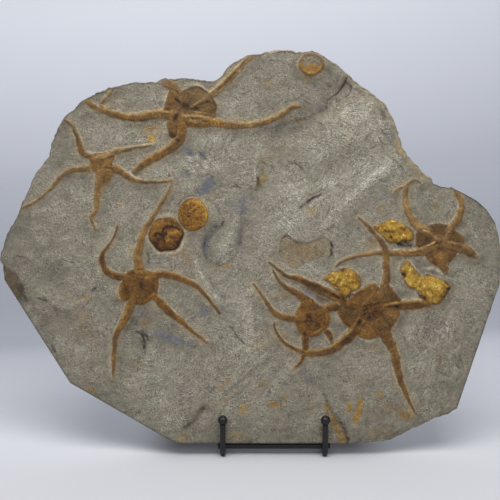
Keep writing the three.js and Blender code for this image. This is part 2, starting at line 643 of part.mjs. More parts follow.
for (const [side, sign] of [['left', -1], ['right', 1]]) {
  const x = EASEL_OFFSET + (sign * POST_SPACING) / 2;
  const place = new THREE.Vector3(x, 0, 0);
  const ballPlace = new THREE.Vector3(x, -POST_AHEAD, BALL_HEIGHT);
  addPiece(`easel_${side}_rail`, barGeometry(railPath(), ALONG_X), blackSteel, place);
  addPiece(`easel_${side}_ball`, ballGeometry(), blackSteel, ballPlace);
  addPiece(`easel_${side}_upright`, barGeometry(uprightPath(), ALONG_X), blackSteel, place);
  addPiece(`easel_${side}_rear_leg`, barGeometry(rearLegPath(), ALONG_X), blackSteel, place);
}

const easelMiddle = new THREE.Vector3(EASEL_OFFSET, 0, 0);
const betweenBars = POST_SPACING - BAR - 2 * JOINT_GAP;
const crossbars = {
  easel_seat_bar: crossbarGeometry(
    POST_SPACING + 2 * BAR, sectionPoint(-HALF_BAR - JOINT_GAP, SEAT_DEPTH), OUT_OF_FACE),
  easel_middle_crossbar: crossbarGeometry(
    betweenBars, sectionPoint(MIDDLE_BAR, UPRIGHT_BEHIND), OUT_OF_FACE),
  easel_upper_crossbar: crossbarGeometry(
    betweenBars, sectionPoint(UPPER_BAR, UPRIGHT_BEHIND), OUT_OF_FACE),
  easel_rear_crossbar: crossbarGeometry(
    betweenBars, new THREE.Vector3(0, REAR_BAR, HALF_BAR), UPWARD),
};
for (const [name, geometry] of Object.entries(crossbars)) {
  addPiece(name, geometry, blackSteel, easelMiddle);
}

// Put the origin in the middle of the footprint.
object.updateMatrixWorld(true);
const bounds = new THREE.Box3().setFromObject(object, true);
const middle = bounds.getCenter(new THREE.Vector3());
object.position.set(-middle.x, -middle.y, -bounds.min.z);

export default object;
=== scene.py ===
"""A slab of grey siltstone with fossil starfish, on a black bar easel, in a pale studio sweep.

The face is drawn on a grid: x to the right and y down, from its upper left corner. Heights on
the face are in mm. Everything is put into metres, in the frame's axes, by to_world().
"""

import math

import bpy
import numpy as np
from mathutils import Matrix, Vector, geometry


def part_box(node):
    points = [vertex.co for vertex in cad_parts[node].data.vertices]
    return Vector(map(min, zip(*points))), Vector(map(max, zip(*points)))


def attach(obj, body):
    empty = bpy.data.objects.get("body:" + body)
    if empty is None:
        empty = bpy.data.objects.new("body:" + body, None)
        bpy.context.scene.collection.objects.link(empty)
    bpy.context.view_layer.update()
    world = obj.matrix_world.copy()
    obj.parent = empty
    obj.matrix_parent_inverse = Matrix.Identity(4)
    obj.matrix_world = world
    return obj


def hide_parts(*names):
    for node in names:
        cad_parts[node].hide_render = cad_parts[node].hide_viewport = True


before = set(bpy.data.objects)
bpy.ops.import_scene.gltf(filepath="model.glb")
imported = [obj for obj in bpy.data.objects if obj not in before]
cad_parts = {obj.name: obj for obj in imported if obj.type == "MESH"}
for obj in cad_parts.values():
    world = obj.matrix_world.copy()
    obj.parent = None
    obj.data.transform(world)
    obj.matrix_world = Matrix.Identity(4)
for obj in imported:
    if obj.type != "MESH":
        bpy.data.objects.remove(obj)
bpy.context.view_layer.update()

# ------------------------------------------------------------------ the frame of the slab

GRID_ACROSS = 501.5
SLAB_WIDTH = 0.564                  # metres
STEP = SLAB_WIDTH / GRID_ACROSS     # metres for one grid step
STEP_MM = STEP * 1000
GRID_MIDDLE = 250.75
GRID_BASE = 444.0
THICKNESS = 22.0                    # mm
LEAN = math.radians(11)
POST_AHEAD = 0.0036                 # post axis ahead of the slab's lower front edge, metres

ball_low, ball_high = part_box("easel_left_ball")
seat_low, seat_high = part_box("easel_seat_bar")
BASE_Y = (ball_low.y + ball_high.y) / 2 + POST_AHEAD
SEAT_DEPTH, SEAT_DROP = 0.008, 0.0033
BASE_Z = (seat_low.z + seat_high.z) / 2 + SEAT_DROP * math.cos(LEAN) + SEAT_DEPTH * math.sin(LEAN)


def to_world(x, y, height):
    """Grid x and y and a height in mm to an array of points in metres."""
    u = (np.asarray(x) - GRID_MIDDLE) * STEP
    v = (GRID_BASE - np.asarray(y)) * STEP
    w = np.asarray(height) / 1000
    return np.stack([u, BASE_Y + v * math.sin(LEAN) - w * math.cos(LEAN),
                     BASE_Z + v * math.cos(LEAN) + w * math.sin(LEAN)], axis=-1)


# ------------------------------------------------------------------ the drawing of the face

# Kinds of edge: how far its front and its back lie inside the silhouette, and how rough it is.
SAWN = (0.5, 0.6, 0.05)
ROUND = (1.2, 1.6, 0.25)
BROKEN = (1.8, 3.4, 1.1)
RIM = (2.4, 1.8, 1.3)

# The silhouette in runs of one kind of edge.
OUTLINE = [
    (SAWN, [(4, 280.2), (69.7, 383.3), (163, 437), (174, 443), (190, 444), (345, 444)]),
    (BROKEN, [(380, 443.5), (400, 436.5), (417.5, 427.9), (433.9, 420.5), (447.6, 415.1)]),
    (SAWN, [(457.5, 408.7)]),
    (ROUND, [(498, 292), (501, 284), (501.5, 262), (501, 245), (499.5, 235), (496, 222), (487.8, 209.3),
     (477.5, 199.7), (463.5, 192.4)]), (BROKEN, [(453.4, 187), (443.3, 185.8)]),
    (RIM, [(434.2, 182.5), (432.3, 177.5), (422.7, 169.5), (415.6, 162.9), (404.3, 148.8), (399.1, 133.4),
     (394.3, 119.6), (387.6, 104.6), (377.2, 94.7), (362.6, 85)]),
    (BROKEN, [(346.3, 72.4), (332.9, 60.1), (328.2, 58.5), (320.3, 53.4), (313.1, 50.4)]),
    (RIM, [(293.1, 50), (280, 48.8), (267, 51.1)]),
    (BROKEN, [(252.9, 53.6), (244.5, 56), (231.9, 62.6), (225.6, 69.4), (219.9, 77.7), (212.8, 80.8),
     (205, 79.6), (198, 78.4), (189, 76.8), (181, 77.2), (172, 78), (162.8, 78.2), (156.3, 80.6),
     (142.9, 80.7), (131.7, 82.1), (119.6, 84.1), (105.3, 88), (94, 93), (83.9, 98.8), (73.9, 106.6),
     (63.6, 115.4), (58.2, 126.2), (51.2, 142.7), (47.6, 156), (43.3, 161.6), (34.8, 171.6),
     (30.6, 180.9), (27.8, 190.4), (22.8, 199.4), (17.8, 209.2), (12.9, 222.9), (5.9, 231.9),
     (2.8, 242.3), (0.4, 252.5), (-1.5, 261.3), (2.6, 265.5), (1.7, 271.3)]),
]

# Long ridges and hollows: x, y from; x, y to; spread in grid steps; height in mm.
SWELLS = [
    (325, 222, 402, 160, 8, 1.7), (316, 214, 352, 182, 5, 1), (278, 220, 345, 178, 7, 0.9),
    (300, 234, 380, 182, 5, -0.9), (302, 150, 352, 98, 13, 1.6), (263, 140, 330, 112, 11, -1.4),
    (276, 127, 313, 117, 3, -0.5), (313, 117, 333, 100, 3, -0.6), (256, 190, 246, 232, 6, -1.5),
    (259, 150, 254, 192, 3.5, 0.7), (216, 228, 206, 242, 4, -1.4), (206, 242, 210, 262, 5, -1.8),
    (210, 262, 220, 266, 5, -1.2), (232, 232, 222, 262, 6, 0.9), (246, 222, 240, 244, 3, -1),
    (240, 244, 216, 266, 3, -1), (227, 377, 262, 345, 6, 1.1), (238, 388, 270, 360, 4, -0.7),
    (253, 405, 292, 372, 6, 1.1), (187, 430, 204, 410, 3.4, -1.3), (204, 410, 226, 384, 3.4, -0.9),
    (212, 402, 262, 358, 4, 0.6), (412, 335, 426, 396, 5, 1), (434, 330, 441, 386, 5, -0.8),
    (446, 316, 452, 372, 5, 0.7), (60, 232, 96, 262, 30, 1.4), (33, 205, 32, 228, 5, 0.6),
    (32, 228, 50, 258, 5, 0.6), (50, 258, 90, 262, 5, 0.5), (34, 288, 68, 308, 5, 0.9),
    (68, 308, 92, 300, 4, 0.6), (92, 336, 120, 352, 24, -1.2), (262, 300, 250, 420, 20, 0.9),
    (190, 262, 212, 300, 5, 0.8), (286, 120, 300, 106, 4, -0.7), (352, 128, 392, 150, 8, -0.8),
    (322, 160, 352, 150, 9, -0.7), (330, 250, 352, 222, 4, 0.6), (150, 398, 180, 424, 9, 0.6),
    (352, 372, 392, 412, 12, -0.8),
]

# Cracks, grooves and small ledges: half width, depth in mm, how dark, and points.
LINES = [
    (0.9, 0.35, 0.35, [(206, 199), (213, 203), (219, 211), (223, 220), (222, 226)]),
    (0.7, 0.35, 0.45, [(355, 150), (362, 148), (370, 149), (376, 146)]),
    (1.2, 0.7, 0.6, [(92, 291), (96, 288)]), (0.9, 0.5, 0.6, [(147, 253), (149, 258), (148, 262)]),
    (0.8, 0.4, 0.5, [(199, 152), (203, 156), (205, 159)]),
    (0.8, 0.4, 0.6, [(205, 176), (209, 174), (213, 178)]), (0.7, 0.3, 0.5, [(197, 190), (200, 194)]),
    (0.7, 0.3, 0.4, [(214, 182), (217, 187), (213, 191)]), (0.7, 0.3, 0.35, [(286, 160), (291, 163.6)]),
    (0.7, 0.3, 0.35, [(294, 161), (299, 166), (303, 168)]),
    (0.9, 0.4, 0.7, [(337.6, 235.6), (338.6, 236.6)]),
    (0.9, 0.9, 0.65, [(347, 77), (344, 85), (338, 92), (332, 97), (327, 101), (326, 108)]),
    (0.8, 0.5, 0.6, [(351, 86), (350, 93), (346, 97)]),
    (1.5, 0.35, 0.35, [(326, 108), (316, 114), (306, 118), (292, 122), (277, 127)]),
    (1, 0.8, 0.8, [(301, 207), (308, 202), (313, 198), (321, 195)]),
    (0.8, 0.3, 0.4, [(322, 190), (316, 193), (308, 195)]),
    (0.8, 0.3, 0.35, [(288, 163), (296, 164), (303, 170)]),
    (0.7, 0.5, 0.7, [(229, 326), (233, 330), (238, 338), (244, 343)]),
    (0.8, 0.4, 0.6, [(231, 188), (236, 186), (241, 189)]),
    (0.8, 0.3, 0.25, [(247, 190), (251, 188), (257, 191)]),
    (0.8, 0.5, 0.45, [(285, 103), (291, 100.5), (298, 99), (305, 100.5), (309, 104)]),
    (1.3, 0.8, 0.2, [(217, 226), (211, 232), (206, 238), (204, 246), (204, 254), (207, 262)]),
    (0.8, 0.4, 0.35, [(204.6, 243), (203.8, 250), (204.6, 256)]),
    (0.8, 0.3, 0.5, [(224, 221), (221.6, 225)]),
    (1.1, 0.6, 0.18, [(214, 267), (222, 265), (230, 260), (237, 250), (242, 240)]),
    (1.2, 0.6, 0.95, [(137, 332), (141, 334), (144, 340), (145, 347)]),
    (1, 0.5, 0.8, [(142, 331), (146, 335), (148, 340)]),
    (0.9, 0.4, 0.7, [(138, 338), (142, 343), (145, 353)]),
    (0.9, 1, 0.4, [(324, 394), (328, 402), (334, 412), (341, 424), (346, 434), (349, 444)]),
    (1.4, 0.6, 0.4, [(184, 429), (192, 424), (199, 416), (204, 409)]),
    (1.4, 0.8, 0.7, [(24, 296), (26, 301)]), (1.2, 0.7, 0.6, [(52, 346), (55, 352)]),
    (1, 0.5, 0.6, [(38, 298), (46, 301)]), (0.8, 0.4, 0.45, [(17, 256), (26, 258), (30, 261)]),
    (1.4, 1, 0.85, [(398, 244), (404, 246), (411, 246)]),
    (0.9, 0.6, 0.7, [(331, 243), (333, 247), (331, 250), (332, 254), (329, 257)]),
    (0.8, 0.4, 0.55, [(62, 259), (68, 261.6), (74, 263)]),
    (0.9, 0.5, 0.4, [(259, 162), (256, 172), (258, 181), (256, 190)]),
    (0.8, 0.4, 0.35, [(262, 163), (266, 164), (268, 169)]), (0.7, 0.4, 0.4, [(410, 148), (416, 162)]),
    (0.7, 0.4, 0.35, [(380, 150), (396, 162), (408, 176)]),
    (0.9, 0.4, 0.7, [(352, 294), (349, 298), (352, 303)]), (0.8, 0.4, 0.6, [(343, 299), (346, 304)]),
    (1, 0.3, 0.6, [(176, 98), (180, 102)]), (0.7, 0.3, 0.4, [(191, 112), (200, 107.5), (207, 101.5)]),
    (0.8, 0.2, 0.5, [(183, 91.5), (187, 88.5), (193, 86.4), (200, 87.3), (206, 91)]),
    (0.7, 0.2, 0.3, [(206, 91), (211, 97), (215, 104), (216, 110)]),
    (0.9, 0.3, 0.6, [(392, 308), (397, 306.3), (403, 304.6)]),
    (0.9, 0.3, 0.6, [(415, 304), (419, 303.6)]), (0.7, 0.2, 0.45, [(136, 279), (142, 279)]),
    (0.8, 0.2, 0.35, [(434, 243), (441, 242)]), (0.8, 0.2, 0.5, [(360, 321), (356, 327), (351, 334)]),
    (0.6, 0.2, 0.35, [(389, 270), (388.5, 280), (387, 287)]),
    (0.7, 0.2, 0.5, [(428, 226), (436, 225), (446, 225.5)]),
    (0.8, 0.2, 0.5, [(326, 330), (331, 335), (332, 339)]),
]

# Fine strokes on the fossils and then on the bare stone: what they change, how much, half width,
# height in mm, and points. A tone or shade stroke that stands is lighter and one that sinks is
# darker: painted light on ridges and painted shade in troughs, with the stone's own streaks.
STROKES = [
    ("pale", 0.8, 0.8, 0.2, [(100, 107), (106, 108.3), (115, 111), (125, 113), (135, 112.6), (145, 111.6),
     (155, 110.4), (162, 109.4)]),
    ("pale", 0.8, 0.7, 0.2, [(162.5, 109), (164, 104), (166, 98), (168.5, 91)]),
    ("pale", 0.6, 0.9, 0.2, [(182, 86.6), (193, 84.4), (203, 87), (210, 92)]),
    ("pale", 0.7, 0.7, 0.2, [(172.5, 82), (177, 86.5), (181, 89.5)]),
    ("pale", 0.7, 0.8, 0.1, [(211, 91), (218, 84), (226, 77), (233, 72)]),
    ("pale", 0.5, 0.8, 0.1, [(221, 92), (231, 83), (241, 72), (248, 62)]),
    ("shade", 0.8, 1, 0.2, [(190, 107), (197, 103), (205, 97.5), (209, 95)]),
    ("shade", 0.5, 0.8, 0.1, [(187, 110), (194, 112), (203, 113)]),
    ("shade", 0.6, 0.7, 0.1, [(180, 113), (188, 115.5), (197, 116.5), (206, 116)]),
    ("shade", -0.7, 0.8, -0.1, [(193, 117.5), (203, 119.5), (211, 122)]),
    ("shade", 0.5, 0.8, 0.1, [(163, 113), (170, 111), (177, 112)]),
    ("shade", -0.8, 0.9, -0.1, [(116, 117), (128, 120), (143, 120.2), (158, 118.4)]),
    ("shade", 0.5, 1.2, 0.1, [(104, 110), (118, 114), (132, 115.6), (146, 115)]),
    ("shade", -0.8, 1, -0.2, [(213, 94.5), (222, 86.5), (232, 77), (239, 69), (246, 60)]),
    ("flesh", 0.5, 2.2, 0.2, [(184, 121), (196, 124), (208, 126)]),
    ("flesh", 0.6, 2.6, 0.3, [(172, 121), (172, 127), (173, 133)]),
    ("pale", 0.5, 0.9, 0.1, [(136, 168), (146, 160), (157, 151.5), (167, 146), (172, 141)]),
    ("pale", 0.6, 0.8, 0.1, [(75.5, 124), (81, 137), (85, 147), (90, 152.6), (96, 153), (101, 151.4)]),
    ("pale", 0.7, 0.7, 0.1, [(106, 151.6), (115, 148.6), (125, 146.6), (138, 144.6), (150, 144.4)]),
    ("pale", 0.9, 0.7, 0.1, [(116, 166.6), (126, 171.6), (136, 177.4), (147, 180.2)]),
    ("shade", -0.6, 0.7, 0, [(52, 184), (60, 175), (68, 170.2), (76, 167.6)]),
    ("shade", 0.6, 1.6, 0.1, [(94, 157), (103, 157.5), (113, 153)]),
    ("warm", 0.5, 2.4, 0, [(80, 144), (84, 151), (92, 158), (94, 163)]),
    ("rust", 0.8, 1.2, 0, [(89, 172.5), (92, 176), (96, 178.5)]),
    ("flesh", 0.6, 3.4, 0.2, [(101, 172), (103, 178), (100, 184)]),
    ("shade", -0.5, 3, 0, [(138, 288), (144, 288)]), ("shade", 0.9, 0.8, 0.1, [(134, 283), (134.6, 290)]),
    ("shade", 0.6, 0.8, 0.1, [(145, 278), (152, 276.4)]),
    ("shade", 0.7, 1, 0.2, [(157.5, 285), (156, 292), (150, 297.5), (146, 301.5)]),
    ("rust", 0.7, 1.8, 0, [(120, 289), (121.5, 295), (124, 300)]),
    ("shade", -0.7, 2, 0, [(103, 263), (102.6, 257), (104.5, 252)]),
    ("pale", 0.6, 0.7, 0.1, [(153, 271.6), (165, 271.6), (177, 273.6), (188, 278), (197, 283)]),
    ("warm", 0.5, 1.2, 0, [(155, 297), (165, 308), (176, 317), (184, 324)]),
    ("shade", 0.5, 0.8, 0.1, [(158, 300), (168, 311), (178, 318.6)]),
    ("pale", 0.35, 0.9, 0, [(110, 226), (112, 234), (116, 242)]),
    ("shade", 0.7, 0.8, 0.2, [(376, 291), (369, 298), (362, 305)]),
    ("shade", 0.8, 0.8, 0.2, [(381, 305.4), (390, 304.2), (397, 302.6), (410, 300.8), (416, 300.8)]),
    ("shade", 0.5, 0.7, 0.1, [(399, 308), (415, 307.6)]),
    ("shade", 0.7, 0.8, 0.2, [(357, 325), (350, 331), (343, 336.6), (334, 342)]),
    ("shade", 0.5, 0.9, 0.1, [(352, 294.6), (362, 288), (372, 285)]),
    ("shade", -0.5, 2.2, -0.1, [(357, 297), (364, 293), (370, 290)]),
    ("shade", -0.5, 1, -0.2, [(377, 326), (380, 332), (382, 338)]),
    ("shade", 0.4, 0.8, 0.1, [(378, 290), (382, 284.6), (383.4, 276), (383.4, 266)]),
    ("shade", -0.6, 1, -0.1, [(389.4, 268), (389, 280), (387.6, 289)]),
    ("shade", -0.8, 1.3, -0.1, [(284, 276), (298, 278.4), (310, 282.4), (322, 287.6), (333, 293.6),
     (344, 300)]), ("shade", 0.8, 0.7, 0.1, [(310, 285), (320, 290.6), (330, 296.4), (337, 300)]),
    ("pale", 0.8, 0.7, 0.1, [(293, 274.4), (302, 276.6), (314, 280.8), (326, 286.4), (338, 293.4)]),
    ("cool", 0.9, 2.6, -0.5, [(289, 283), (300, 289), (312, 295.6), (321, 302)]),
    ("pale", 0.8, 0.7, 0.1, [(265, 297), (272, 306), (281, 312.6), (291, 315), (296, 312.6), (301, 306),
     (303, 301.6)]), ("warm", 0.5, 2.2, 0, [(299, 312), (303, 307), (309, 305)]),
    ("shade", 0.5, 1.4, 0.3, [(325, 308), (327.4, 316), (323, 327), (313, 334)]),
    ("shade", -0.4, 2.6, -0.2, [(308, 316), (310, 322)]),
    ("flesh", 0.35, 0.8, 0.1, [(280, 327), (283, 335), (290, 342), (296, 346)]),
    ("pale", 0.7, 0.8, 0.1, [(407.6, 203), (411, 212), (417, 219.6), (423, 226.6), (428, 228.8)]),
    ("pale", 0.8, 0.8, 0.1, [(447.4, 228.6), (452, 221), (457, 212.4), (458.6, 204)]),
    ("pale", 0.8, 0.7, 0.1, [(394, 249.4), (410, 249.8), (420, 247.6), (428, 243.8)]),
    ("shade", 0.6, 0.8, 0.2, [(416, 225.6), (425, 231), (434, 236), (439, 240)]),
    ("shade", 0.6, 0.9, 0.2, [(451, 229), (446, 235), (441, 240)]),
    ("shade", 0.5, 0.9, 0.2, [(444, 242), (455, 242.6), (466, 247.6), (474, 255)]),
    ("shade", -0.6, 0.9, -0.1, [(452, 246), (462, 250), (470, 256)]),
    ("shade", -0.4, 5, -0.2, [(420, 236), (427, 240)]),
    ("shade", -0.4, 3.4, -0.2, [(434, 228), (442, 228)]),
    ("shade", -0.4, 3.6, -0.2, [(454, 236), (459, 240)]),
    ("pale", 0.7, 0.7, 0.1, [(405, 184), (409, 181.2), (416, 179.4)]),
    ("pale", 0.7, 0.6, 0.1, [(418, 180), (422, 183.4)]),
    ("pale", 0.7, 0.8, 0.1, [(436, 197), (440, 191.6), (445, 188)]),
    ("pale", 0.5, 1.2, 0.1, [(425, 268), (435, 267.8), (438, 271)]),
    ("pale", 0.5, 1.4, 0.2, [(160, 216.4), (167, 214.6), (174, 216.6)]),
    ("pale", 0.6, 1.5, 0.3, [(154, 252), (163, 254.6), (172, 254), (180, 249), (184, 240)]),
    ("pale", 0.5, 1.4, 0.3, [(183, 200), (192, 196), (201, 198), (207, 206)]),
    ("pale", 0.35, 1, 0.3, [(262, 137), (264, 135.4), (267, 136), (267, 139), (264, 139.6),
     (262, 137.4)]), ("rust", 1.1, 1.6, 0, [(374.6, 93), (379, 97), (383, 103)]),
    ("pale", 1, 1.1, 0.2, [(383, 101), (388, 108), (391.6, 116), (394, 125)]),
    ("rust", 1.2, 1.3, 0, [(397.4, 141), (400, 147), (404, 153.6), (409, 160), (414, 167)]),
    ("rust", 1, 1.5, 0, [(418, 170.4), (424, 174), (430, 177)]),
    ("pale", 0.9, 1, 0.2, [(402, 147), (407, 153), (413, 160), (420, 167)]),
    ("rust", 0.8, 1.2, 0, [(390, 113), (393, 121), (394.6, 128)]),
    ("tone", 0.8, 0.9, 0.2, [(379, 122), (386, 130), (392, 138)]),
    ("tone", -0.9, 1, -0.2, [(377, 124), (384, 133), (391, 142)]),
    ("tone", 0.7, 0.9, 0.2, [(378, 131), (384, 139), (391, 147)]),
    ("tone", -0.8, 1.2, -0.2, [(396, 150), (402, 158), (410, 168), (417, 174)]),
    ("pale", 1.1, 1.3, 0.3, [(312, 279.6), (320, 282), (327, 284.4), (334, 287.6), (340, 291)]),
    ("rust", 0.55, 1.8, 0, [(316, 281), (326, 284), (336, 288.4)]),
    ("pale", 0.9, 0.9, 0.3, [(399, 299.8), (406, 298.8), (414, 298.6), (421, 299.6)]),
    ("rust", 0.55, 1.3, 0, [(399, 299.8), (410, 298.8), (421, 299.6)]),
    ("tone", -0.9, 3.4, 0, [(300, 286), (308, 290.4), (316, 296), (324, 300), (332, 302)]),
    ("tone", -0.8, 2.4, 0, [(294, 282.4), (303, 286.6)]),
    ("rust", 0.55, 3.6, 0, [(318, 300), (326, 302), (334, 302)]),
    ("tone", -0.6, 3, 0, [(322, 301), (334, 302)]),
    ("dark", 0.8, 0.7, -0.2, [(334, 291.6), (337, 294.6), (335.6, 297)]),
    ("dark", 0.8, 0.7, -0.2, [(339, 306), (342, 308.6)]),
    ("rust", 0.8, 3, 0, [(333, 296), (338, 299), (343, 304)]),
    ("tone", -0.9, 3, 0, [(334, 297), (339, 300), (343, 304)]),
    ("pale", 0.7, 0.6, 0.2, [(336.6, 301.6), (338.4, 304)]),
    ("dark", 0.5, 1, -0.3, [(331.4, 241), (331.6, 247), (330, 250.6), (331, 254.6)]),
    ("dark", 0.4, 0.9, -0.3, [(280.6, 243), (284, 237), (288, 235.4)]),
    # crust and painted shadow along the upper and right border of the lump at the right
    ("cool", 1.3, 1.6, 0.3, [(422, 272.6), (427, 270.6), (433, 271), (438, 274.4), (443, 277.6),
     (449, 280.4)]),
    ("tone", -1, 1.6, 0, [(424, 273), (430, 271.4), (437, 274.4), (445, 278.8), (450, 281)]),
    ("pale", 0.5, 0.8, 0.2, [(428, 268.6), (434, 269), (440, 272.2), (446, 276), (452, 279)]),
    ("tone", -0.7, 2.2, 0, [(452, 283), (452.6, 291), (449, 299), (443, 304)]),
    # painted shadow under the lump's lower border
    ("dark", 0.6, 1, -0.2, [(397, 243.6), (402, 244.6), (408, 243.8)]),
    # painted shadow ring round the top of the gold disc
    ("dark", 0.5, 1.1, -0.2, [(178, 207), (181, 201), (187, 197.4), (194, 196.2), (200, 198.4)]),
    ("dark", 0.8, 1.1, -0.2, [(335.6, 295), (338.6, 298.4)]),
    ("dark", 0.8, 0.9, -0.2, [(340, 303.6), (343, 306)]),
    ("dark", 0.6, 0.9, -0.2, [(345, 303), (347, 306.6)]),
    ("dark", 0.5, 0.9, -0.1, [(330, 293), (334, 295.4)]),
    ("warm", 0.8, 2.6, 0, [(184, 121), (182.6, 128)]), ("warm", 1, 3.2, 0, [(212, 122), (222, 124)]),
    ("pale", 1, 0.9, 0.3, [(84.4, 148.6), (88.6, 151.6), (95, 153.4)]),
    ("pale", 0.9, 0.9, 0.3, [(190, 85.4), (196, 84.4), (202, 86), (207, 89.6), (211, 93.8), (214, 98),
     (217, 102)]), ("pale", 0.8, 0.9, 0.2, [(171.6, 80.6), (177, 85), (183, 89.6)]),
    ("pale", 0.8, 0.8, 0.1, [(159, 280), (159.6, 286), (158.6, 292)]),
    ("pale", 0.5, 1, 0.2, [(360, 339), (368, 341), (375, 340)]),
    ("pale", 0.7, 0.7, 0.1, [(154, 293), (160, 298.6), (168, 306), (175, 312)]),
    ("pale", 0.8, 0.9, 0.2, [(452, 254.6), (459, 253.8)]),
    ("pale", 1, 0.9, 0.3, [(117, 167), (126, 171), (133, 175.5), (140, 179)]),
    ("tone", 0.9, 1.3, 0.3, [(257, 150), (256, 160), (255, 172), (254, 182), (248, 187), (236, 189),
     (222, 190)]),
    ("tone", -0.7, 1.2, -0.2, [(260, 150), (261, 162), (259, 176), (256, 188), (250, 194)]),
    ("tone", 0.8, 1.6, 0.3, [(189, 160), (197, 157.5), (204, 161), (206, 168), (200, 173), (191, 171),
     (187, 165)]), ("tone", -0.7, 1, -0.2, [(192, 164), (197, 162), (200, 166), (197, 169)]),
    ("tone", 0.6, 1, 0.2, [(210, 160), (216, 163), (219, 168)]),
    ("tone", -1, 1.8, -0.5, [(222, 226), (214, 233), (208, 240), (205, 249), (206, 258)]),
    ("tone", 0.7, 2, 0.3, [(216, 258), (222, 250), (228, 240), (233, 228), (234, 216)]),
    ("tone", -0.8, 1.4, -0.3, [(240, 214), (242, 226), (240, 240), (236, 254), (228, 263)]),
    ("tone", 0.9, 2.2, 0.3, [(194, 258), (199, 268), (204, 280), (211, 292), (222, 303)]),
    ("tone", 0.6, 1.2, 0.2, [(334, 212), (345, 203), (358, 194), (372, 184), (386, 173), (396, 166)]),
    ("tone", 0.7, 1.4, 0.3, [(345, 197), (356, 188), (368, 178), (382, 169), (396, 161)]),
    ("tone", -0.6, 0.9, -0.3, [(342, 213), (350, 203), (361, 194), (374, 186), (390, 176)]),
    ("tone", 0.7, 1, 0.2, [(334, 236), (335, 226), (339, 216), (347, 207)]),
    ("tone", 0.6, 0.8, 0.1, [(373, 213), (378, 206), (384, 200)]),
    ("tone", 0.6, 1.2, 0.2, [(312, 224), (322, 215), (332, 208)]),
    ("tone", 0.5, 1.4, 0.2, [(316, 230), (326, 224), (336, 214)]),
    ("tone", -0.8, 1.6, -0.4, [(300, 208), (307, 202), (314, 197), (322, 194.4)]),
    ("tone", 0.6, 2.4, 0.3, [(309, 207), (318, 200), (328, 195)]),
    ("tone", 0.6, 1.6, 0.2, [(60, 246), (61, 254), (66, 262), (74, 266), (84, 262)]),
    ("tone", 0.6, 1.4, 0.2, [(34, 214), (33, 226), (37, 238), (46, 246)]),
    ("tone", 0.7, 1.3, 0.3, [(44, 294), (52, 302), (61, 307), (72, 304), (84, 300)]),
    ("tone", -0.6, 1.6, -0.3, [(44, 298), (54, 307), (64, 312), (78, 310)]),
    ("tone", 0.5, 1.2, 0.2, [(100, 340), (110, 346), (120, 350)]),
    ("tone", -0.4, 1.6, 0, [(94, 338), (108, 344)]),
    ("tone", 0.7, 1.1, 0.2, [(217, 398), (230, 386), (244, 374), (258, 360), (266, 352)]),
    ("tone", 0.7, 1, 0.2, [(222, 402), (236, 390), (250, 377), (262, 366)]),
    ("tone", -0.5, 1, -0.2, [(219, 401), (233, 388), (247, 375), (260, 363)]),
    ("tone", 0.5, 1.2, 0.2, [(252, 408), (268, 394), (282, 382), (294, 372)]),
    ("tone", 0.6, 1, 0.1, [(249, 282), (251, 296), (250, 310), (253, 324), (252, 336)]),
    ("tone", 0.5, 0.9, 0.1, [(244, 288), (245, 304), (243, 320), (246, 336)]),
    ("tone", -0.5, 2, 0, [(262, 284), (260, 300), (264, 316), (270, 330)]),
    ("tone", 0.6, 0.9, 0.1, [(403, 330), (415, 322), (430, 313), (440, 310)]),
    ("tone", 0.6, 0.9, 0.1, [(407, 340), (420, 331), (436, 322), (450, 316)]),
    ("tone", 0.5, 0.9, 0.1, [(412, 350), (424, 341), (440, 333), (452, 328)]),
    ("tone", -0.5, 1.6, -0.2, [(430, 345), (427, 365), (423, 385), (420, 402)]),
    ("tone", -0.5, 1.4, -0.2, [(444, 338), (440, 362), (436, 384), (430, 404)]),
    ("tone", 0.5, 1.4, 0.2, [(436, 344), (433, 366), (429, 388), (425, 406)]),
    ("tone", 0.4, 1.4, 0.2, [(420, 348), (418, 366), (415, 384)]),
    ("tone", 0.5, 1.2, 0.2, [(452, 330), (449, 354), (444, 378)]),
    ("tone", 0.5, 1.4, 0.1, [(150, 196), (160, 190), (172, 188)]),
    ("tone", 0.6, 1.8, 0.1, [(120, 200), (124, 214), (120, 228)]),
    ("tone", 0.6, 1.6, 0.1, [(146, 200), (150, 212), (146, 226), (150, 236)]),
    ("tone", -0.4, 1.2, -0.1, [(107, 250), (112, 240), (117, 226)]),
    ("tone", 0.5, 1.4, 0.1, [(286, 150), (296, 143), (308, 140)]),
    ("tone", 0.5, 1.6, 0.1, [(276, 170), (284, 162), (296, 158)]),
    ("tone", 0.5, 1.4, 0.1, [(278, 192), (288, 186), (300, 184), (310, 178)]),
    ("tone", -0.4, 2, -0.1, [(296, 170), (308, 168), (318, 164), (330, 165)]),
    ("tone", -0.5, 1.6, -0.2, [(338, 170), (346, 160), (356, 156), (368, 154)]),
    ("tone", -0.5, 1.8, -0.2, [(330, 92), (322, 100), (312, 108), (302, 114)]),
    ("tone", 0.6, 1.6, 0.2, [(336, 98), (332, 110), (322, 122), (308, 130)]),
    ("dark", 0.5, 1.6, -0.1, [(344, 80), (352, 87), (362, 92)]),
    ("dark", 0.8, 0.7, -0.3, [(346.6, 78), (342, 87), (336, 96), (330, 103.6)]),
    ("dark", 0.35, 2.4, 0, [(322, 66), (334, 76), (344, 86)]),
    ("dark", 0.4, 1.4, 0, [(306, 76), (318, 80), (330, 86)]),
    ("dark", 0.3, 2.6, 0, [(298, 78), (312, 84), (326, 90)]),
    ("rust", 0.5, 2, 0, [(260, 160), (262, 172), (259, 184)]),
    ("rust", 0.45, 2.6, 0, [(306, 212), (316, 209)]),
    ("rust", 0.6, 1.4, 0, [(361, 404), (359, 414), (356, 423)]),
    ("rust", 0.5, 1.8, 0, [(348, 400), (350, 408)]),
    ("rust", 0.4, 1.4, 0, [(217, 392), (225, 384), (233, 374)]),
    ("rust", 0.4, 1.6, 0, [(240, 414), (247, 406)]),
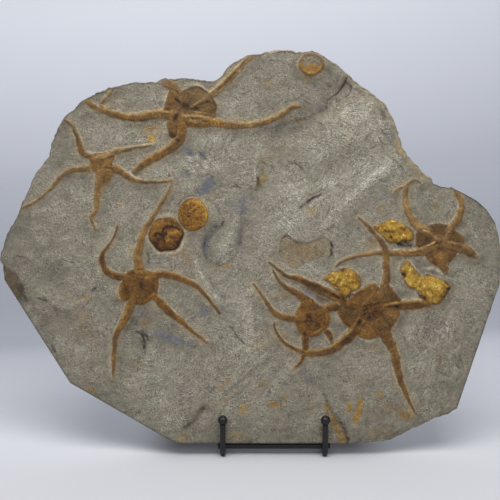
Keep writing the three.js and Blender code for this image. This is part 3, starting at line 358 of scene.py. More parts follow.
    ("rust", 0.35, 3, 0, [(80, 326), (88, 334), (92, 344)]),
    ("rust", 0.25, 4, 0, [(134, 362), (146, 370)]),
    ("rust", 0.25, 5, 0, [(340, 110), (350, 122), (346, 136)]),
    ("rust", 0.2, 6, 0, [(284, 146), (270, 156)]),
    ("rust", 0.25, 4, 0, [(292, 244), (300, 248), (306, 252)]),
    ("rust", 0.2, 6, 0, [(360, 98), (372, 108)]), ("dark", 0.5, 1.6, 0, [(258, 178), (260, 186)]),
    ("dark", 0.45, 1.3, 0, [(264, 168), (262, 174)]),
    ("dark", 0.5, 1.3, -0.8, [(341, 422), (346, 430), (349, 440)]),
    ("dark", 0.6, 1.4, -0.3, [(216, 306), (219, 313)]),
    ("dark", 0.4, 3, -0.2, [(184, 428), (194, 418), (202, 408)]),
    ("dark", 0.3, 1.4, 0, [(337, 386), (344, 398), (350, 410)]),
]

# Creases, ridges and dark cracks on the discs: amount, half width, points. Dark ones sink and light
# ones stand: partly painted shade in the creases and painted light on the ridges.
CREASES = [
    (-1.6, 1, [(184, 90.6), (190, 89), (195, 87.6), (201, 88.6), (207, 92.6)]),
    (-2.6, 0.8, [(175.6, 99), (178, 100.8), (180.4, 103.4)]), (-1, 2.2, [(184, 104), (187, 106.5)]),
    (0.48, 1.1, [(190.5, 107), (197, 103.4), (204, 99), (210, 96)]),
    (-1.4, 0.9, [(191, 109.4), (197, 106.2), (203, 103.4), (209, 101.4)]),
    (-1.6, 1.1, [(195, 109.4), (198, 108.6)]), (-1, 1.2, [(207, 101), (210, 103), (214, 104)]),
    (0.48, 3, [(204, 108), (210, 106)]), (0.54, 1.4, [(184, 116.5), (188, 115.5)]),
    (-0.8, 0.9, [(189, 118), (197, 119.2), (204, 122), (211, 125)]),
    (0.27, 0.9, [(190, 116.4), (200, 116.6), (210, 118.6), (217, 121)]),
    (-0.8, 1.6, [(171, 134.5), (174, 136)]), (-0.7, 0.7, [(165, 104), (172, 104.5)]),
    (-0.7, 0.7, [(165, 108.6), (172, 109)]), (-1.4, 1.1, [(176, 139.6), (179, 141)]),
    (-0.8, 0.6, [(212.5, 118.5), (213.5, 125.5)]), (-0.8, 0.6, [(216, 119.5), (217, 126)]),
    (-0.8, 0.6, [(219.6, 120.5), (220.4, 127)]), (-1.6, 1.7, [(177, 115.6), (174.4, 120)]),
    (0.6, 0.9, [(93.6, 158.6), (99, 156), (104, 154), (109, 153)]),
    (-0.8, 0.9, [(102, 160.6), (107, 158.4), (112, 157)]), (0.54, 1, [(84, 169.6), (92, 169.8)]),
    (-0.8, 1, [(104, 169), (108, 167.6), (112, 169.6)]),
    (0.54, 0.8, [(108, 166), (115, 168.4), (120, 170.6)]),
    (-0.7, 0.8, [(97, 164), (101, 166), (99, 169)]),
    (0.72, 0.9, [(136.4, 288), (134, 294), (131.2, 299.6)]), (-1.3, 2.2, [(141, 282.5), (141.5, 287)]),
    (-1.1, 0.8, [(134, 281), (138, 278.6), (143, 279)]),
    (0.54, 0.8, [(144, 279.8), (150, 278.2), (156, 276.4)]), (-0.6, 3.2, [(127, 290), (128, 296)]),
    (0.42, 2.4, [(139, 271), (146, 273)]), (-1.5, 0.6, [(373.6, 311.4), (377, 311.6), (380.8, 310.4)]),
    (-1.5, 0.6, [(369.6, 301.6), (371.4, 304.4), (370.6, 307.4)]),
    (-1.5, 0.6, [(361.4, 310.6), (364.6, 310.4), (367.4, 308.8)]),
    (-1.4, 0.6, [(361, 316.6), (364.6, 314.4), (367, 312.4)]),
    (-1.5, 0.6, [(368.4, 312.6), (369.4, 316.4), (367.6, 320)]),
    (-1.3, 0.6, [(373.6, 305), (376.6, 303.2), (379, 303.4)]),
    (-1.4, 0.6, [(372.4, 313.4), (374.6, 316.6), (377.6, 318)]),
    (-1.3, 0.6, [(375.6, 308), (379, 307.4), (382, 305.6)]),
    (-1.2, 0.5, [(363.6, 305.6), (366.4, 305.8), (368.4, 304.6)]),
    (-1.2, 0.5, [(359.6, 313), (362.6, 312.8)]), (0.8, 0.6, [(371.6, 309), (373.6, 308.4)]),
    (0.7, 0.6, [(365.4, 312.2), (366.6, 311.2)]), (0.6, 0.5, [(371, 313.6), (371.4, 315.6)]),
    (-0.35, 1.4, [(381, 314), (387, 320), (391, 327)]), (0.3, 1.4, [(384, 311), (391, 315), (396, 318)]),
    (-0.3, 1.2, [(352, 309), (346, 313), (342, 318)]), (0.3, 1.2, [(357, 311), (350, 316), (345, 321)]),
    (-0.3, 1, [(367, 323), (364, 330), (362, 336)]), (0.25, 1.2, [(371, 323), (370, 330), (369, 337)]),
    (0.4, 0.8, [(352, 291.8), (360, 288), (368, 284.8), (373, 283.8)]),
    (0.35, 0.9, [(354, 297.6), (362, 294), (370, 289.6), (375, 286.6)]),
    (-1, 1.9, [(302, 281), (310, 284.6), (318, 288.4), (326, 292), (333, 295.6)]),
    (0.5, 0.7, [(309, 287.6), (317, 291.8), (325, 295), (331, 298.4)]),
    (-1.4, 0.8, [(333.6, 294), (336.4, 297), (338.6, 298)]),
    (-1.4, 0.8, [(338, 301), (341.6, 302.4), (343.6, 305)]), (0.9, 0.7, [(337.6, 299.6), (339.6, 300)]),
    (0.8, 0.6, [(334, 298.6), (335.6, 300)]), (-1.3, 0.7, [(342.4, 299), (345.4, 301.4)]),
    (-2.6, 1.4, [(396, 306.4), (397.8, 306.6)]), (-1.5, 1.6, [(360, 321.4), (358.6, 325)]),
    (-0.55, 1.6, [(358, 329.6), (352, 336), (346, 341), (340, 344.6)]),
    (0.54, 0.9, [(364, 303), (369, 297.6), (374, 291.6), (378, 286)]),
    (-0.9, 2, [(355, 295.6), (361, 291.4)]), (0.36, 0.9, [(352, 301), (358, 297.4), (366, 292.6)]),
    (-1, 1, [(381.6, 285.4), (379, 290.4)]), (0.36, 1, [(358, 336.2), (366, 338), (373, 337.2)]),
    (-1.5, 0.6, [(306.4, 314.6), (307.6, 317), (306.4, 319.8)]),
    (-1.5, 0.6, [(310, 314), (309.2, 316.6), (311, 318.4)]), (-1.4, 0.5, [(308, 320.4), (309.6, 322.4)]),
    (-1.4, 0.6, [(305.2, 321.4), (306.8, 324.4), (308.6, 325.6)]),
    (-1.2, 0.5, [(311, 320.4), (312.4, 321.6)]), (0.8, 0.6, [(308, 318.4), (309.4, 319.4)]),
    (0.8, 0.6, [(308, 322.8), (309.2, 323.6)]), (0.7, 0.5, [(304, 318), (305, 319.4)]),
    (0.5, 1, [(299, 306.6), (303, 301.6), (306, 299)]),
    (-0.6, 0.7, [(303, 293.6), (309, 297.6), (314, 302), (318, 306.6)]),
    (0.54, 1.1, [(322, 325), (320, 329.6), (315.4, 332.6)]), (-0.9, 1.8, [(316, 326), (319, 325)]),
    (-1.6, 1.2, [(304.4, 332.6), (305, 335)]), (-0.8, 0.9, [(297, 321), (302, 322), (306, 321)]),
    (0.4, 1, [(424, 247), (431, 243), (436, 239.6), (440, 236.6)]),
    (0.35, 1, [(424, 229.6), (430, 233.6), (435, 238)]),
    (-1.3, 0.9, [(434.6, 244.6), (437, 242.8), (439.6, 243.4), (441, 241.4)]),
    (-0.9, 2, [(437, 248), (442, 248.4)]), (0.4, 0.8, [(446, 242), (455, 242.8), (463, 243.2)]),
    (-0.6, 0.9, [(448, 244.6), (456, 246), (462, 247)]),
    (0.36, 0.8, [(444, 243.6), (450, 247), (456, 250)]),
    (-0.8, 1, [(402, 252), (412, 252.4), (420, 251.4)]),
    (-1, 0.9, [(404, 257), (414, 257.4), (423, 256.4)]),
]

# Soft spots on the fossils and the golden forms: what they change, how much, x, y, half sizes, turn.
# The dark gold_kind spots along the lower borders of the lumps and the brown disc are painted shade.
SPOTS = [
    ("tone", -1.2, 371, 239.5, 3.4, 3, 0), ("rust", 0.3, 369, 243, 8, 4, 0),
    ("rust", 0.25, 376, 246, 8, 3, 0), ("tone", 1.4, 152, 140, 5, 4, 0),
    ("shade", -1.2, 184, 106, 3.4, 3, 0), ("shade", -1.2, 175.6, 117.4, 3.4, 2.4, -50),
    ("shade", -0.5, 171.6, 134.6, 2.6, 2.2, 30), ("shade", 0.4, 205, 110, 6, 4, 0),
    ("warm", 0.4, 208, 109, 6, 4, 0), ("shade", 0.3, 168, 102, 4, 7, 10),
    ("warm", 0.35, 169, 101, 5, 8, 10), ("shade", 0.3, 198, 93, 8, 3, 10),
    ("shade", 0.5, 184, 115.6, 5, 2, 0), ("warm", -0.2, 197, 97, 10, 6, 0),
    ("warm", 0.6, 217, 122, 6, 3, 10), ("warm", 0.4, 181, 128, 4, 8, 0),
    ("shade", -0.5, 199, 109.4, 1.6, 1.2, 0), ("shade", -0.35, 378, 311.6, 1.6, 1, 0),
    ("shade", -0.35, 371, 304.6, 1.2, 1.4, 0), ("shade", -0.4, 368.8, 317.4, 1.4, 1.6, 0),
    ("shade", -0.35, 363.6, 310.8, 1.6, 1, 0), ("shade", -0.4, 371, 310.4, 8, 6, 20),
    ("warm", 0.55, 371, 310.4, 9, 7, 20), ("shade", 0.6, 369.4, 311.2, 0.9, 0.9, 0),
    ("shade", -1, 360, 323.4, 2.2, 2, 0), ("shade", 0.35, 390, 317, 7, 8, 0),
    ("shade", 0.35, 368, 331, 8, 5, 10), ("warm", 0.15, 368, 331, 9, 6, 0),
    ("shade", 0.25, 380, 298, 6, 4, 30), ("shade", -0.3, 348, 316, 6, 3, 30),
    ("warm", 0.4, 350, 304, 5, 4, 0), ("shade", 0.4, 353, 301, 4, 3, 0),
    ("shade", -0.4, 120, 281, 3, 3, 0), ("shade", -0.3, 149, 292, 5, 4, 0),
    ("shade", 0.55, 300.6, 312.4, 3.6, 2.6, -30), ("warm", 0.7, 300.6, 312.4, 4.4, 3.4, -30),
    ("warm", 0.5, 308, 319, 6, 6, 0), ("shade", -0.1, 308, 319, 3.4, 4.4, 0),
    ("warm", 0.4, 312, 302, 5, 4, 30), ("shade", -0.2, 317, 317, 5, 6, 0),
    ("shade", -0.3, 318, 309, 3.4, 3, 0), ("shade", 0.9, 439.6, 241.4, 1, 0.9, 0),
    ("shade", 0.3, 436, 256, 10, 6, 0), ("warm", 0.3, 437, 258, 10, 8, 0),
    ("shade", 0.3, 103, 163, 5, 3, -20), ("warm", 0.3, 93, 164, 4, 4, 0),
    ("gold_kind", -0.8, 391.5, 237, 1.9, 1.7, 0), ("gold_kind", -0.48, 391, 231.6, 7, 1.3, 5),
    ("gold_kind", 0.18, 404, 235, 7, 2.4, -15), ("warm", 0.36, 404, 236, 8, 4, 0),
    ("warm", 0.48, 378, 227, 5, 2.5, 0), ("gold_kind", -0.35, 378, 227.5, 5, 1.6, 0),
    ("gold_kind", -0.56, 405, 241.6, 7, 1.3, 0), ("gold_kind", -0.32, 402, 229, 4, 1.6, 20),
    ("gold_kind", 0.3, 389, 221.6, 6, 1.2, -5), ("gold_kind", 0.24, 392, 226.4, 5, 1.6, 0),
    ("warm", 0.54, 352, 276, 6, 5, 0), ("gold_kind", 0.26, 356, 287, 3.5, 2.5, 0),
    ("gold_kind", -0.8, 343.5, 269.4, 3.2, 1.4, 0), ("gold_kind", -0.1, 329, 277, 4, 5, 30),
    ("gold_kind", 0.25, 334, 274, 1.6, 1.2, 0), ("gold_kind", 0.3, 329, 281, 1.4, 1.2, 0),
    ("gold_kind", 0.3, 331.6, 279, 1.2, 1.8, 0), ("gold_kind", -0.5, 333, 283.6, 1.6, 1, 0),
    ("warm", 0.7, 331, 276, 6, 6, 0), ("gold_kind", 0.42, 346.6, 284, 2.2, 1.3, 20),
    ("warm", 0.6, 346.6, 284, 3, 2, 20), ("gold_kind", -0.35, 342, 296, 3.4, 2.6, 0),
    ("gold_kind", 0.36, 337, 277, 1.6, 1.4, 0), ("gold_kind", -0.32, 336, 285, 3, 1.3, 30),
    ("gold_kind", -0.8, 427.5, 273.4, 4.4, 1.7, 5), ("gold_kind", 0.42, 423.4, 285.6, 2.6, 1.6, 0),
    ("gold_kind", 0.36, 438, 290, 3, 1.5, 30), ("warm", 0.6, 438, 290, 3.4, 2.2, 30),
    ("gold_kind", -0.88, 447.6, 283, 2, 1.8, 0), ("gold_kind", -0.8, 448.4, 289.6, 1.5, 2.4, 0),
    ("gold_kind", -0.32, 444, 297.4, 5.4, 2.6, 45), ("gold_kind", -0.4, 423.4, 297, 4, 1.5, 30),
    ("warm", 0.6, 423.4, 297, 5, 2.4, 30), ("gold_kind", 0.18, 433, 283, 5, 4, 0),
    ("gold_kind", -0.64, 403.4, 274, 2.4, 2.2, 0), ("warm", 0.48, 404, 274, 3.4, 3, 0),
    ("gold_kind", 0.14, 411, 283, 4, 4, 0), ("gold_kind", 0.18, 406, 265, 2.6, 3, 0),
    ("gold_kind", 0.27, 169.6, 240, 4.6, 4.8, 0), ("gold_kind", 0.18, 169, 232.6, 3, 1.8, 0),
    ("gold_kind", 0.4, 175.4, 232.2, 2.6, 0.9, -25), ("gold_kind", 0.03, 160, 223.4, 6, 3.4, -30),
    ("gold_kind", -0.1, 168, 221.6, 4, 2, 0), ("gold_kind", 0.05, 154, 232, 3.6, 5, 0),
    ("gold_kind", -0.16, 175.6, 223.6, 6, 2.6, 30), ("gold_kind", -0.2, 155.4, 243.4, 4.4, 3.4, 30),
    ("gold_kind", -0.24, 177.6, 243, 5, 4, -40), ("gold_kind", 0.02, 166, 248, 8, 2, 0),
    ("gold_kind", -0.5, 159.6, 238, 3.2, 2.8, 0), ("gold_kind", 0.06, 193, 202, 6, 2.6, 0),
    ("gold_kind", 0.08, 204, 213, 4, 9, 0), ("warm", 0.4, 190, 216, 11, 11, 0),
    ("gold_kind", -0.14, 186, 222, 4.4, 3.4, -30), ("gold_kind", 0.06, 199, 225.6, 6, 2.4, -15),
    ("gold_kind", -0.12, 184, 207, 3, 5, 10), ("gold_kind", -0.1, 202, 212, 3, 5, 0),
]

# Stone showing through the fossils: x, y, half sizes, turn, strength.
GAPS = [
    (386.5, 293, 3, 5, 10, 0.15), (348, 311, 5, 2, 20, 0.2), (316, 303, 3, 2.4, 20, 0.35),
    (350, 299, 3, 2, 0, 0.3), (174, 90, 2.5, 1.6, 30, 0.3), (99, 176, 1.4, 2, 0, 0.3),
    (429, 268, 3, 1.6, 20, 0.5), (448, 264, 2.5, 3.2, 0, 0.4), (341, 304.6, 4, 1.6, 20, 0.4),
    (336, 300, 3, 1.3, 30, 0.3),
]

# Each starfish: mouth, rise in mm, the petals of its disc (how orange, how light, outline) and
# its arms. An arm is its points (x, y, half width) from the mouth to the tip, then how orange,
# how light, how strongly ribbed, and how much its middle is darker than its sides.
STARFISH = [
    dict(mouth=(176, 117.5), rise=2.5,
         petals=[
             (0.45, -0.25, [(164, 110), (165.5, 103), (168.5, 92), (172, 90), (178, 93), (181, 98),
                            (182, 106), (180, 112), (172, 112)]),
             (0.5, -0.45, [(168, 121), (174, 119.5), (178, 123), (178, 131), (176, 137), (172, 138),
                           (168.5, 134), (167, 127)]),
             (0.5, -0.15, [(184, 120), (194, 119), (205, 121), (210, 125), (205, 127.5), (196, 128),
                           (187, 127)]),
             (0.35, 0.1, [(186, 112), (196, 109), (206, 109), (215, 112), (215, 117), (208, 120),
                          (196, 119), (187, 118)]),
             (0.3, -0.15, [(170, 112), (180, 106), (188, 106), (192, 112), (190, 119), (182, 123),
                           (173, 121)]),
             (0.0, -0.35, [(180, 97), (183, 91), (187, 89), (192, 87), (197, 86.3), (202, 87.5), (207, 92),
                           (212, 97.5), (216, 104), (217, 109), (214, 113), (205, 112), (195, 111),
                           (186, 110), (180, 106)]),
         ],
         arms=[
             ([(172, 116, 4.2), (158, 114, 4.2), (143.1, 116.6, 4), (130, 117.1, 3.8), (118.8, 115.1, 3.3),
               (106.7, 111.8, 2.8), (95.8, 107.4, 2.4), (85.3, 100.3, 1.8)], 0.45, 0.37, 0.3, 0.5),
             ([(110, 109, 1.4), (101, 105.5, 1.2), (104.3, 99.2, 1.1), (109.7, 92.7, 1.1),
               (112.2, 89.2, 0.9)],
              -0.1, 0.85, 0.1, 0.2),
             ([(180, 96, 4.6), (173, 87, 4.8), (166, 82, 4.4)], 0.1, 0.45, 0.2, 0.2),
             ([(207, 97, 4), (214, 92, 4), (223, 85, 3.8), (234, 73.5, 3.8), (245, 61, 3.2),
               (250, 56.5, 2.6)],
              -0.3, 0.95, 0.3, 0.9),
             ([(184, 119, 4.6), (198, 119, 4.4), (212.9, 122, 4.1), (226.9, 124.5, 3.7), (241, 125.3, 3.2),
               (256, 123.8, 2.7), (268.2, 120.5, 2.4), (280.2, 114.9, 2.2), (288.2, 109.4, 2),
               (294.2, 106.5, 2), (300.1, 106.1, 1.4)], 0.35, 0.6, 0.5, 0.2),
             ([(179, 119, 4.2), (182, 126, 4.4), (182, 133, 4.6), (178.5, 140.5, 4.6), (171.5, 147.5, 4.3),
               (161, 154, 4.1), (150, 160, 3.8), (142, 165.5, 3.4), (134.6, 171.4, 2.6)], 0.5, 0, 0.4, 0.3),
         ]),
    dict(mouth=(100, 163), rise=1.7,
         petals=[
             (0.5, -0.15, [(89, 158), (94, 154), (103, 153), (112, 152.5), (115, 156), (112, 163),
                           (112, 170),
                         (108, 177), (99, 178), (96, 172), (89, 169), (90, 163)]),
             (0.5, 0.0, [(98, 170), (108, 168), (113, 171), (112, 177), (108, 182.6), (103, 184), (98, 182),
                         (96, 176)]),
             (0.3, 0.10, [(92, 157), (102, 154), (112, 152.5), (110, 157), (102, 160.5), (94, 161.5)]),
         ],
         arms=[
             ([(97, 160, 2.6), (89, 156.6, 2.3), (82.6, 153, 2.5), (80.5, 148, 2.6), (77.5, 138, 1.9),
               (73, 127, 1.4), (68, 122, 1.1), (64.5, 120, 0.9)], 0.3, 0, 0.1, 0.4),
             ([(96, 167, 3), (83, 169, 2.8), (72.1, 169.8, 2.5), (63.7, 174.2, 2), (56.1, 182.6, 1.8),
               (48.1, 191.1, 1.3), (36, 201.1, 1), (22.8, 207.7, 0.8)], 0.1, 0.4, 0.1, 0.3),
             ([(101, 170, 4.2), (99, 184, 3.4), (97, 197, 2.7), (96.1, 209, 2.1), (91.1, 216.2, 1.4),
               (92.2, 221.8, 1.1), (95.3, 228.9, 0.7)], 0.4, 0.4, 0.2, 0.1),
             ([(104, 158, 3.2), (114, 152, 2.8), (124.2, 150.2, 1.7), (135.1, 147.7, 1.2), (151, 145, 0.7)],
              0.2, 0.42, 0.1, 0.3),
             ([(106, 167, 3.6), (117.5, 169.5, 3.2), (125.9, 175.2, 2.6), (135.9, 180.4, 2),
               (148, 182, 1.4), (161.1, 181.9, 1), (170.1, 180.6, 0.8), (171.2, 180.4, 0.7),
               (172, 184, 0.6)], 0.4, 0.25, 0.1, 0.6),
         ]),
    dict(mouth=(140, 286), rise=2.5,
         petals=[
             (1.0, -0.10, [(119, 288), (123, 284), (127, 292), (128, 300.5), (123, 300), (119.5, 294)]),
             (1.0, -0.45, [(123, 278), (128, 272), (136, 269), (146, 270), (154, 273), (158, 280),
                           (158.5, 288),
                          (155, 296), (148, 302), (141, 305), (133, 303), (127, 299), (121.5, 293),
                          (121, 285)]),
             (0.9, -0.70, [(132, 279), (140, 276), (149, 277), (154, 284), (152, 292), (145, 298),
                           (137, 298), (132, 292), (130, 285)]),
         ],
         arms=[
             ([(139, 279, 5), (139, 269, 4.2), (137.8, 256, 3.7), (140.3, 243.1, 3.3), (144, 231, 2.8),
               (150.9, 220.8, 2.2), (157.5, 209.5, 1.6), (163.8, 198.9, 1.3), (167.7, 191.9, 1.1),
               (171.5, 185, 0.7)], 0.55, 0.3, 0.3, 0.1),
             ([(131, 281, 4), (124, 277.5, 3.7), (115, 276, 3.3), (106.2, 270.3, 3.1), (102.2, 260.6, 2.7),
               (103.1, 253, 2), (107.7, 246.1, 1.2), (112.9, 238.9, 0.8), (116.1, 230.9, 0.7),
               (117.5, 225, 0.6)],
              0.75, -0.15, 0.1, 0.3),
             ([(148, 279, 4), (156, 275, 3.6), (167, 274.5, 3.2), (177.8, 277.5, 3), (187.9, 281.2, 2.7),
               (196.9, 286.1, 2.2), (205.4, 295, 1.6), (212.9, 304.1, 1.2), (220, 313, 0.8)],
              0.8, -0.05, 0.2, 0.4),
             ([(149, 292, 4), (155, 296.5, 3.4), (161.6, 303.9, 3.4), (171.6, 314, 3), (181.8, 321.2, 2.3),
               (192.2, 330.8, 1.6), (207, 342, 0.8)], 0.9, 0, 0.2, 0.4),
             ([(135, 296, 5), (131, 304, 4.1), (127.5, 313.8, 3.7), (121.4, 325.2, 3.1), (116, 335, 2.6),
               (114.4, 346, 2.2), (113.6, 361, 1.6), (113.2, 376, 0.7)], 0.6, -0.05, 0.2, 0),
         ]),
    dict(mouth=(309, 318), rise=2.2,
         petals=[
             (1.1, -0.25, [(300, 304), (306, 299), (312, 299), (319, 305), (326, 307), (330, 314),
                           (329.5, 323), (325, 330), (317, 336), (309, 337), (301, 334), (297, 327),
                           (293, 320), (296, 313)]),
             (0.7, -0.7, [(311, 301), (317, 304), (322, 309), (319, 313), (312, 312), (308, 307)]),
             (1.0, -0.60, [(304, 312), (312, 310), (321, 312), (326, 319), (322, 327), (314, 331),
                           (306, 328),
                          (302, 320)]),
         ],
         arms=[
             ([(310, 311, 5.6), (307.4, 303, 5), (302.6, 297.4, 3.7), (295.6, 292.6, 2.8),
               (289, 288.8, 2.3), (283, 284.8, 1.8), (277, 277.5, 1.2),
               (272.3, 268.8, 0.7)], 0.65, -0.25, 0.2, 0.3),
             ([(303, 318.5, 4), (291, 318.5, 3.6), (280.3, 316.1, 2.9), (272.9, 311.1, 2.3),
               (267.1, 302.9, 1.6), (260.8, 293.3, 1.1), (253.5, 283.5, 0.7)], 0.6, 0.1, 0.1, 0.1),
             ([(307, 327, 3.6), (305.5, 339, 3.1), (305.2, 348, 2.8), (303.5, 356, 2.1),
               (299.8, 362.7, 1.6), (294.1, 367.6, 0.9)], 1, -0.3, 0.2, 0.4),
             ([(314, 314, 3.8), (326, 309, 3.2), (334, 307, 4.2), (342, 306, 4.4),
               (349, 306, 4)], 0.8, -0.5, 0.2, 0.1),
             ([(321, 327, 3), (327, 331.6, 2.6), (330, 336.6, 2.3),
               (331.4, 341.6, 1.4)], 0.9, -0.25, 0.2, 0.3),
         ]),
    dict(mouth=(440, 241), rise=2.4,
         petals=[
             (0.4, -0.58, [(419, 248), (430, 246), (440, 243), (450, 243), (460, 247), (457, 253),
                           (452.5, 259),
                          (447, 266), (437, 266), (430, 262), (424, 256), (416, 252)]),
             (0.4, -0.66, [(416.5, 233), (422, 229), (430, 231), (438, 238), (431, 243), (424, 247),
                           (417, 246), (415.5, 240)]),
             (0.38, -0.52, [(427, 229), (430, 225), (438, 223.5), (447, 225), (449, 229), (445, 236),
                            (440, 240),
                          (434, 236)]),
             (0.36, -0.42, [(446, 238), (451, 232), (458, 232), (464, 238), (463.5, 245), (455, 244),
                            (446, 242)]),
             (0.35, -0.3, [(434, 237), (441, 234), (447, 238), (446, 244), (438, 245)]),
         ],
         arms=[
             ([(435, 237, 4.4), (427.5, 231.5, 4.3), (416.7, 225.3, 3.8), (409.2, 213.9, 3.2),
               (405.7, 203.3, 2.7), (405.3, 194, 2.3), (406.4, 187.3, 1.9), (409, 182.6, 1.1),
               (414, 179.5, 0.8), (421, 182, 0.6)], 0.35, 0.5, 0.1, -0.3),
             ([(406, 185.5, 1.1), (400, 187, 1), (395.2, 191.3, 0.8)], 0.2, 0.9, 0.1, 0),
             ([(444, 238, 4.2), (450, 230, 3.9), (456.5, 221.3, 3.4), (460.9, 211.1, 3), (461.4, 204, 2.7),
               (458.9, 196.1, 2.2), (454.4, 189.2, 1.3)], 0.35, 0.15, 0.1, -0.3),
             ([(445, 243, 4), (454, 245.6, 4.4), (462, 248.4, 4.6), (469, 252, 4), (475.6, 256.6, 2.4)],
              0.4, 0.15, 0.1, 0.3),
             ([(434, 245.5, 4.4), (422, 251, 3.9), (410, 253, 3.2), (397, 253, 2.9), (386, 252.5, 2.6),
               (373, 253, 2.1), (362.1, 255.1, 1.7), (352.2, 257.1, 1.4), (342.1, 260.7, 1.1),
               (336, 265.5, 0.7)], 0.4, 0.32, 0.1, -0.2),
             ([(440.5, 250, 7), (442, 259, 6.6), (444, 266.5, 4.6), (445.6, 272.6, 2.4)], 0.5, 0, 0.1, 0),
         ]),
    dict(mouth=(370, 310), rise=2.8,
         petals=[
             (0.8, -0.60, [(338, 308), (346, 305), (354, 305), (362, 308), (365, 315), (359, 323),
                           (353, 328.5), (346, 325), (340, 319)]),
             (0.65, -0.50, [(375, 297), (380, 290), (386, 283), (390, 286), (396, 293), (401, 300.5),
                            (392, 303), (382, 306), (374, 305)]),
             (0.65, -0.45, [(378, 309), (390, 307), (400, 308), (400, 313), (396.5, 321), (392, 328),
                            (389, 333), (383, 327), (377, 317)]),
             (0.85, -0.30, [(363, 320), (376, 318), (379, 326), (378, 335), (373, 338.8), (366, 339),
                            (359, 336.6), (354, 332), (358, 326)]),
             (0.75, -0.50, [(345, 304), (350, 297.5), (356, 292), (364, 287), (371, 283.5), (376, 284),
                            (379, 288), (378, 296), (374, 303), (368, 308), (360, 309), (351, 308)]),
             (0.55, -0.80, [(361, 306), (371, 301), (380, 305), (383, 311), (379, 317), (371, 321),
                            (362, 318)]),
         ],
         arms=[
             ([(374, 302, 4), (381, 293, 3.8), (385.9, 282.1, 3.7), (386.4, 271, 3.4), (385.9, 258, 3.1),
               (384, 246, 2.8), (376.5, 236, 2.3), (367.9, 226.1, 1.7),
               (358.7, 217.3, 0.8)], 0.4, 0.05, 0.2, 0.1),
             ([(376, 309, 3.2), (387, 306.8, 3.7), (398, 305.4, 4.1), (409.5, 304.6, 4.2),
               (420, 304.4, 3.7), (430, 304, 2.6)], 0.95, -0.25, 0.2, 0.3),
             ([(376, 318, 5), (382, 328, 6), (387, 338, 5.2), (393.3, 350.2, 4.2), (396.2, 364.2, 3.6),
               (399.9, 378.2, 2.9), (405, 391.5, 2), (409.5, 402, 1.3), (415.5, 413, 0.7)],
              0.55, -0.2, 0.9, 0.2),
             ([(364, 315, 5), (358, 324, 4.8), (351, 335, 4.8), (341, 343, 4.4), (331.2, 349.4, 4),
               (320.1, 352.4, 3.4), (307.5, 353, 2.6), (298.1, 349.8, 1.8), (288, 345, 1.4),
               (280.1, 337.8, 1.1), (274.8, 328.3, 0.8), (274, 322.1, 0.6)], 0.6, -0.15, 0.8, 0.5),
             ([(360, 307, 3.2), (347, 302.4, 3.6), (336, 296, 4.3), (324.2, 290.8, 4.4),
               (311.8, 285.2, 3.8), (298, 278.6, 2.6), (286.8, 276, 1.8), (278.5, 269.5, 1.3),
               (269, 262, 0.8)],
              0.8, -0.15, 0.4, 0.2),
         ]),
]

# Round discs: centre, half sizes and rise.
GOLD_DISC = (192.8, 214.5, 14.8, 16.3, 2.6)
BROWN_DISC = (166.2, 234.4, 17.4, 17.2, 2.8)
CUP = (311.2, 64.0, 12.4, 11.0, 1.6)
ROUND_FORMS = (GOLD_DISC, BROWN_DISC, CUP)

# Rough yellow lumps: outline and rise.
NODULES = [
    ([(373.4, 227), (381, 223), (391.8, 220), (401.6, 223), (411.3, 230), (413.5, 238), (408, 242.4),
     (397, 242.8), (388.5, 242.4), (382, 236)], 4.2),
    ([(324, 279.4), (329.4, 273.5), (339, 268.7), (350.5, 268.7), (358, 274.4), (361, 282), (358, 288.8),
     (351.4, 291.7), (345.7, 299.3), (340.4, 296.4), (336, 289.4)], 4.4),
    ([(415.6, 283), (418.6, 277.5), (426.8, 274.4), (436, 277), (446.3, 281), (450.4, 287), (447, 294),
     (440.5, 302.6), (430, 304.3), (421, 297.4), (416.3, 291)], 4.4),
    ([(401.5, 263), (408.4, 261.8), (413.5, 267), (419, 274), (421, 281), (417.3, 288), (410, 288),
     (404, 280), (400.4, 270.7)], 2.6),
]

# Threads on the two golden discs: how much, half width and points.
GOLDEN_THREADS = [
    (-0.5, 0.9, [(154.4, 235.6), (157.6, 233), (161, 234.4), (163, 236.4)]),
    (-0.5, 0.9, [(162.4, 235.6), (163, 231.6), (165, 228), (169, 226.6), (173.6, 227.2)]),
    (-0.4, 1.2, [(172, 226.2), (176, 227.6), (179.4, 230)]),
    (-0.4, 0.8, [(164.6, 242), (164, 237), (166, 233.6)]),
    (-0.14, 0.6, [(187.6, 217.6), (191.6, 213.6), (196, 209.4)]),
    (-0.1, 0.6, [(185, 220.6), (189, 217), (194, 214.6)]),
    (-0.1, 0.5, [(184, 215), (190, 209), (196, 204)]), (-0.1, 0.5, [(190, 222), (196, 217), (202, 212)]),
    (0.3, 0.7, [(187, 204), (191.6, 201.2), (197.6, 202.4), (202.6, 205.6)]),
    (0.2, 0.6, [(196, 216.4), (201, 214.6), (206, 214)]),
    (-0.16, 0.7, [(195, 219), (201, 220.4), (205, 222.6)]),
    (0.2, 0.6, [(188, 211.6), (193, 207.6), (199, 206)]),
]

# The tan shallow recess, the wedge under the ledge at the lower edge and the chip on the left.
RECESS = [
    (281, 240), (287, 234.5), (294, 240.5), (304, 243), (316, 240), (323, 237), (329, 240), (331.5, 246),
    (329.5, 249), (331.5, 254), (327, 257), (318, 257.5), (309, 260.5), (302, 265), (293, 268),
    (288, 265), (283, 261), (280, 252),
]
WEDGE = [
    (326, 400), (331, 410), (338, 422), (344, 432), (348, 444), (339, 444), (335, 432), (329, 418),
    (325, 407),
]
CHIP = [
    (-4, 262), (3, 266), (12, 271), (20, 279), (24, 288), (23, 295), (19, 300), (10, 290), (0, 274),
]

